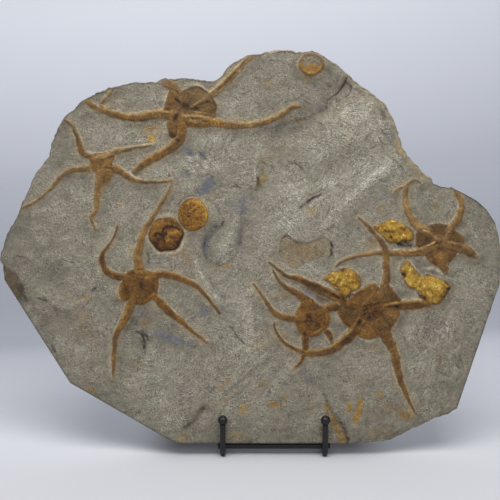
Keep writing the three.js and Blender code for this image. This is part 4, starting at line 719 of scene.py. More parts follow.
# Lighter and darker patches of the bare stone: x, y, half sizes, turn in degrees, strength.
TONES = [
    (350, 178, 62, 34, -30, 0.45), (342, 120, 34, 24, -30, 0.5), (372, 125, 26, 30, -40, 0.35),
    (385, 107, 6, 8, 0, 1.3), (262, 135, 9, 6, -20, -0.3), (262, 160, 7, 12, 6, 0.3),
    (204, 156, 4, 4, 0, -0.3), (130, 425, 60, 26, 30, 0.35), (15, 240, 16, 20, 0, -0.4),
    (60, 260, 40, 26, 10, -0.25), (30, 215, 20, 20, 0, -0.25), (235, 100, 34, 15, -8, 0.35),
    (130, 143, 26, 12, 10, 0.6), (112, 128, 16, 10, 20, 0.65), (140, 100, 24, 8, 0, 0.2),
    (88, 112, 8, 6, -30, 0.4), (70, 140, 14, 26, 20, -0.1), (150, 172, 26, 7, 15, 0.55),
    (213, 140, 22, 14, 0, 0.55), (240, 150, 16, 20, 0, 0.4), (196, 165, 10, 7, -10, 0.5),
    (214, 165, 7, 6, 0, 0.8), (186, 186, 7, 7, 0, 0.5), (209, 184, 10, 9, 0, -0.8),
    (130, 205, 24, 22, 0, 0.35), (115, 215, 10, 22, 0, 0.2), (62, 215, 28, 26, 20, -0.1),
    (80, 246, 28, 16, 0, 0.05), (46, 268, 26, 18, 20, -0.35), (80, 280, 16, 10, 0, 0.2),
    (260, 150, 6, 10, 10, 0.5), (243, 240, 4, 20, 0, -0.35), (165, 262, 24, 6, 0, 0.25),
    (201, 274, 5, 14, -25, 0.8), (212, 294, 6, 16, -30, 0.3), (215, 210, 8, 9, 0, 0.45),
    (228, 240, 5, 18, 10, 0.4), (240, 290, 12, 30, 0, 0.3), (249, 312, 5, 28, 0, 0.4),
    (176, 300, 20, 10, 35, 0.15), (100, 312, 22, 14, 10, -0.1), (148, 322, 24, 14, 35, -0.4),
    (172, 343, 22, 7, 12, -0.7), (140, 345, 9, 12, 0, -0.3), (66, 342, 14, 16, 30, 0.45),
    (88, 352, 16, 14, 20, 0.3), (72, 322, 18, 8, 30, -0.5), (160, 385, 28, 30, 10, 0.35),
    (235, 352, 26, 7, -38, 0.4), (205, 335, 16, 9, 0, 0.25), (280, 395, 26, 7, -38, 0.2),
    (275, 350, 14, 14, 0, 0.1), (300, 205, 38, 20, -25, 0.5), (289, 222, 15, 9, -5, 0.75),
    (265, 236, 11, 15, 0, 0.5), (266, 262, 11, 10, 0, 0.5), (310, 268, 20, 7, 8, 0.9),
    (372, 268, 14, 12, 0, 0.5), (350, 222, 12, 16, 0, -0.25), (312, 150, 11, 9, 0, 0.6),
    (328, 181, 8, 6, 0, 0.7), (361, 166, 11, 6, 0, 0.6), (318, 132, 16, 8, -25, 0.4),
    (366, 184, 30, 5, -37, 0.8), (380, 194, 22, 12, -30, -0.2), (385, 168, 14, 6, -35, 0.5),
    (352, 148, 12, 12, 0, -0.35), (374, 147, 12, 5, 0, -0.35), (358, 108, 20, 17, 20, 0.8),
    (330, 182, 12, 5, -15, 0.3), (284, 178, 20, 18, -30, 0.15), (290, 195, 14, 8, 0, 0.3),
    (381.6, 114.6, 3.2, 6.4, -35, -2.2), (335, 84, 24, 8, 25, -0.75), (317, 104, 16, 10, 0, -0.5),
    (393, 158, 14, 16, 0, 0.3), (280, 128, 18, 7, -5, -0.6), (303, 128, 26, 4, -18, -0.4),
    (262, 70, 26, 18, 0, 0.15), (300, 108, 30, 8, -10, -0.1), (338, 128, 20, 16, -30, 0.3),
    (384, 132, 8, 12, 20, 0.2), (262, 178, 4, 14, 5, -0.5), (420, 198, 12, 16, 0, 0.2),
    (482, 226, 12, 28, 10, -0.35), (472, 234, 3, 12, -20, 0.6), (470, 280, 14, 14, 0, 0.35),
    (438, 268, 14, 5, 0, 0.2), (290, 305, 10, 8, 0, 0.5), (288, 330, 10, 8, 20, 0.2),
    (342, 315, 6, 9, 0, 0.1), (320, 343, 9, 5, 0, 0.35), (410, 332, 22, 8, -20, 0.4),
    (425, 352, 10, 22, -12, 0.2), (372, 362, 26, 18, 20, 0.2), (350, 378, 16, 16, 0, 0.15),
    (305, 392, 26, 18, 0, -0.25), (308, 376, 7, 6, 0, -0.6), (452, 370, 14, 30, 12, -0.35),
    (336, 396, 6, 10, -20, -0.4), (250, 434, 120, 8, 0, -0.3), (140, 290, 42, 38, 0, -0.3),
    (325, 315, 50, 38, 10, -0.3), (390, 330, 40, 36, 0, -0.3), (440, 250, 40, 30, 0, -0.2),
    (96, 195, 16, 8, 0, 0.3), (217, 311, 5, 5, -20, -1), (203, 311, 9, 6, 0, -0.4),
    (20, 290, 10, 14, -25, -0.9), (44, 318, 5, 16, -32, -0.4), (110, 396, 40, 5, 31, -0.4),
    (48, 330, 5, 26, -32, -0.3),
]

# Blue-grey patches: x, y, half sizes, turn, strength.
COOLS = [
    (185, 148, 8, 5, 20, 1.3), (192, 153, 6, 4, 30, 1), (204, 156, 4, 4, 30, 1.3),
    (176, 145, 6, 3, 10, 1), (184, 175, 10, 5, 15, 0.8), (209, 185, 8, 10, 10, 1.4),
    (203, 176, 6, 6, 0, 1), (200, 192, 8, 6, 0, 0.8), (234, 208, 15, 10, 20, 0.7),
    (246, 198, 8, 8, 0, 0.6), (241, 230, 4, 24, 3, 0.8), (209, 242, 4, 15, 15, 1),
    (174, 341, 20, 5, 8, 1.3), (160, 335, 9, 6, 20, 0.7), (140, 312, 7, 8, 0, 0.8),
    (218, 310, 4, 6, -25, 1.3), (203, 311, 9, 6, 20, 0.9), (216, 290, 6, 18, -30, 0.6),
    (308, 377, 7, 6, 0, 0.7), (301, 400, 4, 4, 0, 0.6), (262, 135, 9, 6, -20, 0.4),
    (282, 128, 16, 6, -5, 0.5), (262, 160, 6, 26, 6, 0.3), (318, 104, 16, 10, -20, 0.4),
    (352, 150, 12, 12, 0, 0.3), (372, 150, 16, 8, 0, 0.5), (378, 196, 20, 14, -35, 0.35),
    (350, 226, 12, 18, 0, 0.25), (50, 275, 30, 10, 15, 0.3), (30, 240, 14, 12, 0, 0.5),
    (160, 190, 16, 7, 0, 0.4), (306, 298, 14, 5, 35, 0.6), (306, 310, 6, 6, 0, 0.5),
    (262, 305, 8, 10, 0, 0.5), (272, 325, 5, 8, 0, 0.7), (410, 300, 20, 8, 0, 0.4),
    (390, 135, 10, 10, 20, 0.4), (322, 268, 14, 8, 0, 0.5), (425, 200, 12, 18, 0, 0.35),
    (392, 276, 6, 10, 0, 0.6), (430, 320, 18, 10, -10, 0.4), (345, 360, 16, 10, 0, 0.35),
    (482, 260, 12, 20, 0, 0.3), (155, 262, 20, 5, 0, 0.4), (230, 310, 10, 20, 0, 0.4),
]

# Ochre and rust stains: x, y, half sizes, turn, strength.
STAINS = [
    (152, 140, 4.5, 3.5, 0, 3), (150, 131, 10, 5, 0, 0.55), (157, 128, 5, 3, 0, 0.5),
    (267.6, 83.6, 4, 2.5, 0, 1), (305.5, 80.5, 3, 3, 0, 0.8), (298, 120, 3.5, 3, 0, 0.7),
    (289, 121, 3, 2, 0, 0.5), (226, 265.5, 5, 2.5, -8, 1), (214, 267, 4, 3, 0, 0.6),
    (382.5, 208.5, 2, 4, 15, 0.9), (400, 190, 8, 3, -15, 0.35), (380, 394, 3.5, 4, 0, 1),
    (349, 407, 3.4, 6, 20, 0.9), (357, 416, 5, 6, 20, 1.3), (360, 405, 3, 9, 12, 1.1),
    (274, 405, 7, 4, 10, 1.1), (285, 398, 2.5, 5, 0, 0.7), (405, 416, 7, 5, 0, 0.9),
    (392, 408, 12, 6, 20, 0.35), (370, 432, 4, 3, 0, 0.6), (386, 433, 9, 4, 0, 0.4),
    (83, 297, 3, 2, 0, 0.9), (79, 303, 3, 2, 0, 0.7), (88, 300, 3, 2, 0, 0.7), (129, 250, 3, 3, 0, 0.6),
    (146, 324, 5, 4, 0, 0.6), (180, 331, 3, 2, 0, 0.8), (92, 390, 5, 2.5, 10, 0.8),
    (62, 322, 4, 3, 0, 0.3), (384, 104, 3, 6, -30, 0.5), (380, 98, 3, 4, 0, 0.4),
    (399, 146, 2, 5, 0, 0.5), (424, 174, 4, 3, 40, 0.6), (260, 345, 12, 7, -20, 0.3),
    (262, 385, 8, 4, -38, 0.4), (226, 384, 7, 4, -38, 0.35), (495, 408, 10, 6, 0, 0.3),
    (243, 409, 5, 6, -30, 0.7), (182, 438, 7, 4, 0, 0.55), (235, 436, 8, 4, 0, 0.5),
    (264, 178, 3, 5, 0, 0.6), (258, 183, 3, 4, 0, 0.5), (313, 212, 6, 4, 0, 0.45),
    (434, 207, 3, 4, 0, 0.5), (120, 205, 3, 6, 25, 0.35), (160, 205, 8, 3, 60, 0.3),
    (175, 252, 12, 8, 0, 0.3), (188, 258, 6, 8, 0, 0.35), (282, 338, 10, 6, 0, 0.35),
    (370, 348, 10, 4, 0, 0.3), (285, 295, 8, 4, 0, 0.35), (120, 292, 3, 8, 0, 0.8),
    (292, 350, 8, 5, 0, 0.3), (104, 182, 8, 5, 0, 0.25), (312, 408, 3, 8, 10, 0.35),
    (372, 243, 4, 4, 0, 0.35), (86, 334, 3, 5, 0, 0.35), (84, 318, 12, 6, 20, 0.25),
    (440, 356, 5, 16, 0, 0.18), (395, 383, 4, 3, 0, 0.35), (236, 120, 8, 5, 0, 0.2),
    (158, 416, 8, 4, 20, 0.15), (270, 330, 10, 5, 0, 0.2), (225, 402, 10, 4, -38, 0.2),
]


# ------------------------------------------------------------------ noise and distances

def hashed(ix, iy, seed):
    """A repeatable number from -1 to 1 for each pair of whole numbers."""
    h = (ix * 374761393 + iy * 668265263 + seed * 974634777) & 0xFFFFFFFF
    h = ((h ^ (h >> 13)) * 1274126177) & 0xFFFFFFFF
    return ((h ^ (h >> 16)) & 0xFFFF) / 32767.5 - 1


def noise(x, y, scale, seed=0):
    """Smooth noise from -1 to 1, with features of about `scale`."""
    gx, gy = x / scale, y / scale
    ix, iy = np.floor(gx).astype(np.int64), np.floor(gy).astype(np.int64)
    fx, fy = gx - ix, gy - iy
    ux, uy = fx * fx * (3 - 2 * fx), fy * fy * (3 - 2 * fy)
    top = hashed(ix, iy, seed) * (1 - ux) + hashed(ix + 1, iy, seed) * ux
    low = hashed(ix, iy + 1, seed) * (1 - ux) + hashed(ix + 1, iy + 1, seed) * ux
    return top * (1 - uy) + low * uy


def fbm(x, y, scale, seed=0, octaves=4, gain=0.55):
    """Layers of noise, each half the size of the one before and weaker by `gain`."""
    total, weight, amount = 0, 1, 0
    for k in range(octaves):
        total = total + weight * noise(x, y, scale / 2 ** k, seed + 17 * k)
        amount += weight
        weight *= gain
    return total / amount


def smooth(edge0, edge1, value):
    """0 up to edge0 and 1 from edge1, with a soft step between."""
    t = np.clip((value - edge0) / (edge1 - edge0), 0, 1)
    return t * t * (3 - 2 * t)


def turned(x, y, degrees):
    """Coordinates along and across a direction that is turned by degrees."""
    a = math.radians(degrees)
    return x * math.cos(a) + y * math.sin(a), -x * math.sin(a) + y * math.cos(a)


def blob(x, y, cx, cy, rx, ry, degrees):
    """1 in the middle of a soft ellipse, falling to 0 outside it."""
    u, v = turned(x - cx, y - cy, degrees)
    return np.exp(-((u / rx) ** 2 + (v / ry) ** 2))


def along_segment(x, y, ax, ay, bx, by):
    """How far points lie from a segment, and where along it, from 0 to 1."""
    t = ((x - ax) * (bx - ax) + (y - ay) * (by - ay)) / ((bx - ax) ** 2 + (by - ay) ** 2)
    t = np.clip(t, 0, 1)
    return np.hypot(x - ax - t * (bx - ax), y - ay - t * (by - ay)), t


SPAN_SAMPLES = 24


def curve_through(points, spacing, closed=False):
    """Evenly spaced samples of a smooth curve through points of any dimension, and its length."""
    p = np.asarray(points, float)
    n = len(p)
    spans = n if closed else n - 1
    samples = []
    for i in range(spans):
        if closed:
            a, b, c, d = p[i - 1], p[i], p[(i + 1) % n], p[(i + 2) % n]
        else:
            b, c = p[i], p[i + 1]
            a = p[i - 1] if i else 2 * b - c
            d = p[i + 2] if i + 2 < n else 2 * c - b
        t = np.linspace(0, 1, SPAN_SAMPLES, endpoint=False)[:, None]
        samples.append(0.5 * (2 * b + (c - a) * t + (2 * a - 5 * b + 4 * c - d) * t ** 2
                              + (3 * b - a - 3 * c + d) * t ** 3))
    samples.append(p[:1] if closed else p[-1:])
    q = np.concatenate(samples)
    s = np.concatenate([[0], np.cumsum(np.hypot(*np.diff(q[:, :2], axis=0).T))])
    count = max(2, int(round(s[-1] / spacing)) + 1)
    even = np.linspace(0, s[-1], count)
    if closed:
        even = even[:-1]
    return np.stack([np.interp(even, s, q[:, k]) for k in range(q.shape[1])], axis=1), s[-1]


def inside_distance(x, y, loop):
    """Distance to a closed loop: positive inside it, negative outside."""
    best = np.full(x.shape, 1e9)
    inside = np.zeros(x.shape, bool)
    for (ax, ay), (bx, by) in zip(loop, np.roll(loop, -1, axis=0)):
        best = np.minimum(best, along_segment(x, y, ax, ay, bx, by)[0])
        if ay != by:
            crosses = (ay > y) != (by > y)
            inside ^= crosses & (x < (bx - ax) * (y - ay) / (by - ay) + ax)
    return np.where(inside, best, -best)


# ------------------------------------------------------------------ the silhouette

EDGE_SPACING = 1.5

outline = np.array([(x, y, *edge) for edge, run in OUTLINE for x, y in run], float)


def silhouette():
    """Evenly spaced points round the slab with their edge values, corners of the sawn sides kept."""
    loop = np.concatenate([outline, outline[:1]])
    s = np.concatenate([[0], np.cumsum(np.hypot(*np.diff(loop[:, :2], axis=0).T))])
    count = int(s[-1] / EDGE_SPACING)
    even = np.linspace(0, s[-1], count, endpoint=False)
    nearest = np.abs(even[:, None] - s[None, :-1]).argmin(0)
    even[nearest] = s[:-1]
    points = np.stack([np.interp(even, s, loop[:, k]) for k in range(5)], axis=1)
    rough = points[:, 4]
    soft = smooth(0.1, 0.4, rough)[:, None] * 0.5
    for _ in range(2):
        beside = np.roll(points[:, :2], -1, axis=0) + np.roll(points[:, :2], 1, axis=0)
        points[:, :2] = points[:, :2] * (1 - soft) + beside / 2 * soft
    tangent = np.roll(points[:, :2], -1, axis=0) - np.roll(points[:, :2], 1, axis=0)
    tangent /= np.linalg.norm(tangent, axis=1)[:, None]
    inward = np.stack([tangent[:, 1], -tangent[:, 0]], axis=1)
    x, y = points[:, 0], points[:, 1]
    jag = rough * (0.9 * fbm(x, y, 9, 5, 3) + 0.5 * noise(x, y, 3, 9))
    points[:, :2] += inward * jag[:, None]
    return points, inward, even / s[-1]


edge_points, edge_inward, edge_turn = silhouette()
edge_loop = edge_points[:, :2]
edge_front, edge_back, edge_rough = edge_points[:, 2:].T
front_inset = edge_front * (1 + 0.35 * edge_rough * noise(edge_turn * 900, edge_turn * 0, 4, 3))
face_edge = edge_loop + edge_inward * front_inset[:, None]


# ------------------------------------------------------------------ the face

FAR = 40.0                          # gap of the points that no raised thing is near
REACH = 16                          # how far round a raised thing its gap is worked out
LIGHT_X, LIGHT_Y = 0.45, 0.89       # the side that the light comes from is minus these
RIB_PITCH = 2.3                     # along an arm
MARK_REACH = 2.5                    # a stroke ends this many half widths away


class Face:
    """Height in mm and the paint masks of points on the face.

    Masks of the stone: tone is lighter or darker, cool blue-grey, rust ochre, pale cream, dark
    nearly black, and steep where its streaks stand. Masks of the fossils: fossil is where they
    cover the stone, shade is lighter or darker, warm more orange, gold where a form is golden,
    and gold_kind how light the gold is. Tone, pale, dark, shade and gold_kind also carry painted
    light and shade: painted highlights on sides towards the light and on what stands, and painted
    shade on sides away from it, in creases, grooves and hollows, and towards the slab's border.
    """

    NAMES = ("tone", "cool", "rust", "pale", "dark", "fossil", "shade", "warm", "gold", "gold_kind",
             "steep")

    def __init__(self, x, y):
        self.x, self.y = x, y
        self.masks = {name: np.zeros(x.shape) for name in self.NAMES}
        self.border = inside_distance(x, y, face_edge)
        self.raised = np.zeros(x.shape)
        self.gap = np.full(x.shape, FAR)
        self.lit = np.zeros(x.shape)
        self.bare()
        for star in STARFISH:
            self.starfish(star)
        self.gold_disc()
        self.brown_disc()
        self.cup()
        for n, (loop, rise) in enumerate(NODULES):
            self.nodule(loop, rise, n)
        self.halo()
        self.recesses()
        self.strokes()
        self.lines()
        self.height = self.ground + self.raised
        self.edges()

    def near(self, low_x, high_x, low_y, high_y, margin):
        """The index, x and y of the points in a box with a margin round it."""
        index = np.flatnonzero((self.x > low_x - margin) & (self.x < high_x + margin)
                               & (self.y > low_y - margin) & (self.y < high_y + margin))
        return index, self.x[index], self.y[index]

    def near_loop(self, loop, margin):
        return self.near(loop[:, 0].min(), loop[:, 0].max(), loop[:, 1].min(), loop[:, 1].max(), margin)

    def near_disc(self, cx, cy, rx, ry, margin):
        return self.near(cx - rx, cx + rx, cy - ry, cy + ry, margin)

    def bare(self):
        x, y, m = self.x, self.y, self.masks
        wx, wy = x + 7 * fbm(x, y, 34, 71, 3), y + 7 * fbm(x, y, 34, 72, 3)
        ground = np.zeros(x.shape)
        for ax, ay, bx, by, spread, height in SWELLS:
            away = along_segment(wx * 0.4 + x * 0.6, wy * 0.4 + y * 0.6, ax, ay, bx, by)[0]
            ground += height * np.exp(-((away / spread) ** 2))
        # layered flow: streaks run up to the right on the right, level on the left
        flow = smooth(190, 290, x + 0.3 * (y - 250))
        ua, va = turned(wx, wy, -38)
        ub, vb = turned(wx, wy, 12)
        streak = flow * fbm(ua / 3.2, va, 9, 21, 4) + (1 - flow) * fbm(ub / 2.6, vb, 10, 22, 4)
        coarse = fbm(wx, wy, 46, 31, 4)
        grain = fbm(x, y, 7, 41, 3, 0.7)
        self.ground = ground + 0.75 * coarse + 0.5 * streak + 0.34 * grain
        tone = 0.34 * coarse + 0.42 * streak + 0.34 * grain
        wobble = 0.6 * fbm(x, y, 11, 51, 3)
        m["steep"] += smooth(385, 425, x + 14 * wobble) * smooth(285, 330, y)
        for cx, cy, rx, ry, turn, amount in TONES:
            spot = blob(wx, wy, cx, cy, rx, ry, turn)
            tone += amount * spot * (1 + wobble)
        # painted shade: the stone darkens towards the slab's border, where the light falls off
        tone -= 0.42 * np.exp(-self.border / 9) + 0.1 * np.exp(-self.border / 40)
        # painted light and shade: the stone is lighter where it stands higher and darker where it lies
        # lower
        m["tone"] += tone + ground / 6
        for cx, cy, rx, ry, turn, amount in COOLS:
            spot = blob(wx, wy, cx, cy, rx, ry, turn)
            spot = spot * (1 + fbm(x, y, 5, 61, 4, 0.7)) + 0.1 * wobble
            m["cool"] += amount * smooth(0.25, 0.8, spot)
        for cx, cy, rx, ry, turn, amount in STAINS:
            spot = blob(x + 0.25 * (wx - x), y + 0.25 * (wy - y), cx, cy, rx * 1.15, ry * 1.15, turn)
            m["rust"] += amount * smooth(0.2, 0.95, spot * (1 + 0.9 * fbm(x, y, 3.4, 63, 2)))
        flecks = fbm(x, y, 5, 81, 2) + 0.5 * fbm(x, y, 40, 82, 2)
        m["rust"] += 0.35 * smooth(0.72, 1.1, flecks)
        m["dark"] += 0.45 * smooth(0.66, 0.95, fbm(x, y, 4.2, 83, 2, 0.8))

    def lay(self, index, height, gap, lit, cover, **masks):
        """Puts a raised thing over what is there. lit is 1 on its side towards the light."""
        closer = gap < self.gap[index]
        self.lit[index] = np.where(closer, lit, self.lit[index])
        self.gap[index] = np.minimum(self.gap[index], gap)
        self.raised[index] = np.maximum(self.raised[index] * (1 - 0.3 * cover), height * (cover > 0.01))
        masks.setdefault("gold", 0)
        for name, value in masks.items():
            self.masks[name][index] = self.masks[name][index] * (1 - cover) + value * cover
        self.masks["fossil"][index] = self.masks["fossil"][index] * (1 - cover) + cover

    def starfish(self, star):
        self.on_disc = np.zeros(self.x.shape)
        for n, petal in enumerate(star["petals"]):
            self.petal(star, petal, n)
        for n, arm in enumerate(star["arms"]):
            self.arm(arm, n)

    def petal(self, star, petal, n):
        """One plate of a disc. Later plates lie on the ones before."""
        warm, light, points = petal
        loop = curve_through(points, 1.2, closed=True)[0]
        mx, my = star["mouth"]
        index, x, y = self.near_loop(loop, REACH)
        d = inside_distance(x, y, loop) + 0.7 * fbm(x, y, 4, 7, 2, 0.7)
        ax, ay = x - mx, y - my
        reach, angle = np.hypot(ax, ay) + 1e-6, np.arctan2(ay, ax)
        lit = -(LIGHT_X * (x - loop[:, 0].mean()) + LIGHT_Y * (y - loop[:, 1].mean()))
        lit = np.clip(lit / 6, -1, 1)
        rays = noise(np.cos(angle) * 7, np.sin(angle) * 7, 0.8, 13 + n)
        lumps = fbm(x, y, 7, 15, 4, 0.6)
        profile = 1 - np.exp(-np.clip(d, 0, None) / 2.6)
        mouth = np.exp(-(reach / 2.4) ** 2)
        height = star["rise"] * profile * (0.42 + 0.08 * rays + 0.24 * lumps) - 0.8 * mouth
        rim = np.exp(-((d - 0.9) / 0.9) ** 2)
        crease = np.exp(-((d + 0.2) / 0.8) ** 2)
        # painted highlight on the rim on the side towards the light, and painted shade along the border on
        # the side away from it
        shade = (light + 0.22 * rays + 0.5 * lumps + rim * (0.15 + 0.4 * lit)
                 - 0.4 * crease * smooth(0.4, -0.6, lit))
        cover = smooth(-1.1, 1.1, d + 0.5 * lumps)
        old = self.on_disc[index]
        height = np.where(old > 0.3, self.raised[index] + 0.25 * profile - 0.25 * crease, height)
        self.on_disc[index] = np.maximum(old, cover)
        self.lay(index, np.clip(height, 0.15, None), -d, lit, cover, shade=shade, warm=warm + 0.3 * lumps)

    def arm(self, arm, n):
        """One arm: a round cord that thins to its tip, ribbed across."""
        points, warm, light, ribs, core = arm
        line, length = curve_through(points, 0.8)
        index, x, y = self.near_loop(line, REACH)
        best = np.full(x.shape, 1e9)
        where, radius, out_x, out_y = (np.zeros(x.shape) for _ in range(4))
        for k in range(len(line) - 1):
            (ax, ay, ar), (bx, by, br) = line[k], line[k + 1]
            away, t = along_segment(x, y, ax, ay, bx, by)
            closer = away < best
            best = np.where(closer, away, best)
            where = np.where(closer, (k + t) * length / (len(line) - 1), where)
            radius = np.where(closer, ar + t * (br - ar), radius)
            out_x = np.where(closer, x - ax - t * (bx - ax), out_x)
            out_y = np.where(closer, y - ay - t * (by - ay), out_y)
        lit = -(LIGHT_X * out_x + LIGHT_Y * out_y) / np.maximum(best, 1e-3)
        flank = np.sign(lit) * 4
        uneven = 0.16 * noise(where, flank, 4, 91 + n) + 0.1 * noise(where, flank, 1.8, 92 + n)
        radius = radius * (1 + uneven) + 0.1
        t = best / radius
        wave = np.sin(where * 2 * math.pi / RIB_PITCH + 1.6 * np.sin(where / 5))
        patch = fbm(where, lit * t * radius, 5, 95 + n, 4, 0.65)
        slow = noise(where, where * 0, 11, 96 + n)
        profile = np.sqrt(np.clip(1 - t ** 2, 0, 1))
        rise = 0.3 + 0.34 * radius * STEP_MM
        dip = core * 0.3 * np.exp(-(t / 0.3) ** 2)
        disc = self.on_disc[index]
        height = rise * profile * (1 - dip + 0.06 * ribs * wave + 0.16 * patch)
        height = np.where(disc > 0.3, self.raised[index] + 0.3 * height * smooth(1, 7, where), height)
        rim = np.exp(-((t - 0.78) / 0.24) ** 2) * (1 - 0.6 * disc)
        side = lit * t
        # painted light and shade: the arm's side towards the light is lighter, its other side darker, and
        # its raised ribs lighter
        shade = (light + 0.2 * rim + 0.95 * smooth(0.1, 0.95, side)
                 - 0.3 * smooth(0.0, 0.7, -side) * (1 - rim)
                 - 0.9 * core * np.exp(-(t / 0.45) ** 2) - 0.15
                 + 0.3 * ribs * wave * smooth(0.1, 0.5, t) + 0.75 * patch + 0.25 * slow)
        width = np.clip(0.75 / radius, 0.12, 0.5)
        fade = smooth(0, 3, length + 0.5 - where)
        faint = smooth(-0.2, -0.8, patch) * smooth(2.4, 1.2, radius)
        cover = smooth(1 + width, 1 - width, t) * (0.5 + 0.5 * fade) * (1 - 0.7 * faint)
        cover *= 1 - disc * (0.35 + 0.4 * smooth(12, 2, where))
        # painted shade in the creases beside the arm where it lies on the disc, and a lighter ridge along
        # its middle
        groove = np.exp(-((t - 1.1) / 0.2) ** 2) - 0.6 * np.exp(-(t / 0.5) ** 2)
        self.masks["shade"][index] -= 0.55 * disc * groove * smooth(1, 6, where)
        warm = warm - 0.25 * smooth(2.4, 1.2, radius) + 0.4 * patch + 0.15 * slow
        self.lay(index, height, best - radius, lit, cover, shade=shade, warm=warm)

    def gold_disc(self):
        cx, cy, rx, ry, rise = GOLD_DISC
        index, x, y = self.near_disc(cx, cy, rx, ry, REACH)
        u, v = (x - cx) / rx, (y - cy) / ry
        reach = np.hypot(u, v) + 0.02 * noise(x, y, 6, 101)
        arcs = noise(np.hypot(x - cx + 26, y - cy - 6), np.arctan2(y - cy - 6, x - cx + 26) * 9, 2.6, 103)
        spread = np.arctan2(y - cy - 12, x - cx + 15)
        fan = noise(spread * 26, np.hypot(x - cx + 15, y - cy - 12) / 7, 1.6, 104)
        height = rise * np.clip(1 - reach ** 5, 0, 1) ** 0.6 + 0.16 * arcs + 0.12 * fan
        rim = np.exp(-((reach - 0.93) / 0.06) ** 2) * smooth(0.1, 0.8, u - 0.2 * v)
        kind = 0.36 + 0.05 * arcs + 0.1 * fan + 0.06 * fbm(x, y, 5, 106, 2) + 0.3 * rim
        self.lay(index, height, (reach - 1) * rx, -v - 0.4 * u, smooth(1.04, 0.95, reach), gold=1,
                 warm=0.8, gold_kind=kind, shade=0)

    def brown_disc(self):
        cx, cy, rx, ry, rise = BROWN_DISC
        index, x, y = self.near_disc(cx, cy, rx, ry, REACH + 2)
        angle = np.arctan2(y - cy, x - cx)
        corner = 1 + 0.035 * np.cos(6 * angle + 0.4) + 0.015 * noise(angle * 3, angle * 0, 1, 107)
        reach = np.hypot((x - cx) / rx, (y - cy) / ry) / corner
        marble = fbm(x + 3 * noise(x, y, 6, 108), y + 3 * noise(x, y, 6, 109), 8, 110, 4, 0.6)
        height = rise * np.clip(1 - reach ** 4, 0, 1) ** 0.6 * (1 + 0.22 * marble)
        # painted shade: the disc is darker on its lower side, with a painted shadow rim along its lower
        # border
        shaded_low_side = smooth(-0.3, 0.7, (y - cy) / ry + 0.3 * (x - cx) / rx)
        rim = np.exp(-((reach - 0.96) / 0.06) ** 2) * shaded_low_side
        kind = 0.31 + 0.22 * marble + 0.1 * fbm(x, y, 3, 115, 2) - 0.12 * shaded_low_side - 0.22 * rim
        self.lay(index, height, (reach - 1) * rx, -np.sin(angle), smooth(1.04, 0.95, reach), gold=1,
                 warm=0.9, gold_kind=kind, shade=-0.3)
        ring = np.exp(-((reach - 1.12) / 0.06) ** 2)
        self.ground[index] += 0.4 * ring
        bare = 1 - self.masks["fossil"][index]
        self.masks["pale"][index] += 0.45 * ring * bare * (1 + 0.8 * noise(x, y, 7, 116))

    def cup(self):
        """A raised ring with an orange floor low in it."""
        cx, cy, rx, ry, rise = CUP
        index, x, y = self.near_disc(cx, cy, rx, ry, REACH)
        u, v = (x - cx) / rx, (y - cy) / ry
        reach = np.hypot(u, v) + 0.05 * noise(x, y, 5, 111)
        rim = np.exp(-((reach - 0.9) / 0.12) ** 2)
        low = smooth(-0.15, 0.25, v + 0.25 * noise(x, y, 4, 113))
        height = rise * rim + 0.9 * low * smooth(1, 0.8, reach) + 0.3 * noise(x, y, 4, 114)
        inside = smooth(1.05, 0.95, reach)
        cover = inside * np.clip(0.15 + 0.75 * low + 0.6 * rim, 0, 1)
        self.lay(index, height * inside, (reach - 1) * rx, -v, cover, warm=0.55 + 0.5 * low,
                 shade=0.55 + 0.3 * noise(x, y, 5, 115) - 0.35 * rim * (1 - low))

    def nodule(self, points, rise, n):
        """A rough yellow lump with holes in its border."""
        loop = curve_through(points, 1.2, closed=True)[0]
        index, x, y = self.near_loop(loop, REACH)
        d = inside_distance(x, y, loop) + 1.1 * fbm(x, y, 4.5, 121 + n, 3, 0.7)
        lit = -(y - loop[:, 1].mean()) / 10 - (x - loop[:, 0].mean()) / 22
        lumps = fbm(x, y, 7, 131 + n, 4, 0.7)
        crust = fbm(x, y, 2.4, 135 + n, 3, 0.8)
        profile = 1 - np.exp(-np.clip(d, 0, None) / 3.0)
        height = rise * profile * (0.75 + 0.5 * lumps) + 0.7 * crust * profile
        # painted shade along the lump's border on the side away from the light: darker and more orange
        # there
        edge = np.exp(-(d / 1.2) ** 2) * smooth(0.6, -0.6, lit)
        kind = 0.5 + 0.2 * lumps + 0.26 * crust + 0.3 * smooth(0.2, 0.6, crust) - 0.25 * edge
        warm = 0.35 + 0.6 * fbm(x, y, 6, 137 + n, 3) + 0.3 * edge
        holes = smooth(0.0, 0.4, fbm(x, y, 4.5, 139 + n, 3, 0.8)) * smooth(5.5, 0.5, d)
        self.lay(index, np.clip(height, 0.05, None), -d, lit,
                 smooth(-0.8, 0.9, d) * (1 - 0.8 * holes), gold=1, warm=np.clip(warm, 0, 1),
                 gold_kind=kind, shade=0)

    def halo(self):
        """The worked stone round the raised things: a trench, a bank, scrapes, dust and shade."""
        x, y, m = self.x, self.y, self.masks
        bare = 1 - np.clip(m["fossil"], 0, 1)
        work = np.clip(0.55 + 0.9 * fbm(x, y, 8, 141, 3), 0, 1.3)
        other = np.clip(0.5 + 0.9 * fbm(x, y, 7, 142, 3), 0, 1.3)
        lit = np.clip(self.lit, -1, 1)
        trench = np.exp(-((self.gap - 1.3) / 1.4) ** 2) * bare
        bank = np.exp(-((self.gap - 5.0) / 2.4) ** 2) * bare
        scrape = noise(self.gap, fbm(x, y, 22, 143, 2) * 6, 1.9, 144) * np.exp(-((self.gap - 6) / 5) ** 2)
        self.ground += -0.55 * trench * work + 0.3 * bank * work + 0.15 * scrape
        m["tone"] += bare * 0.35 * scrape
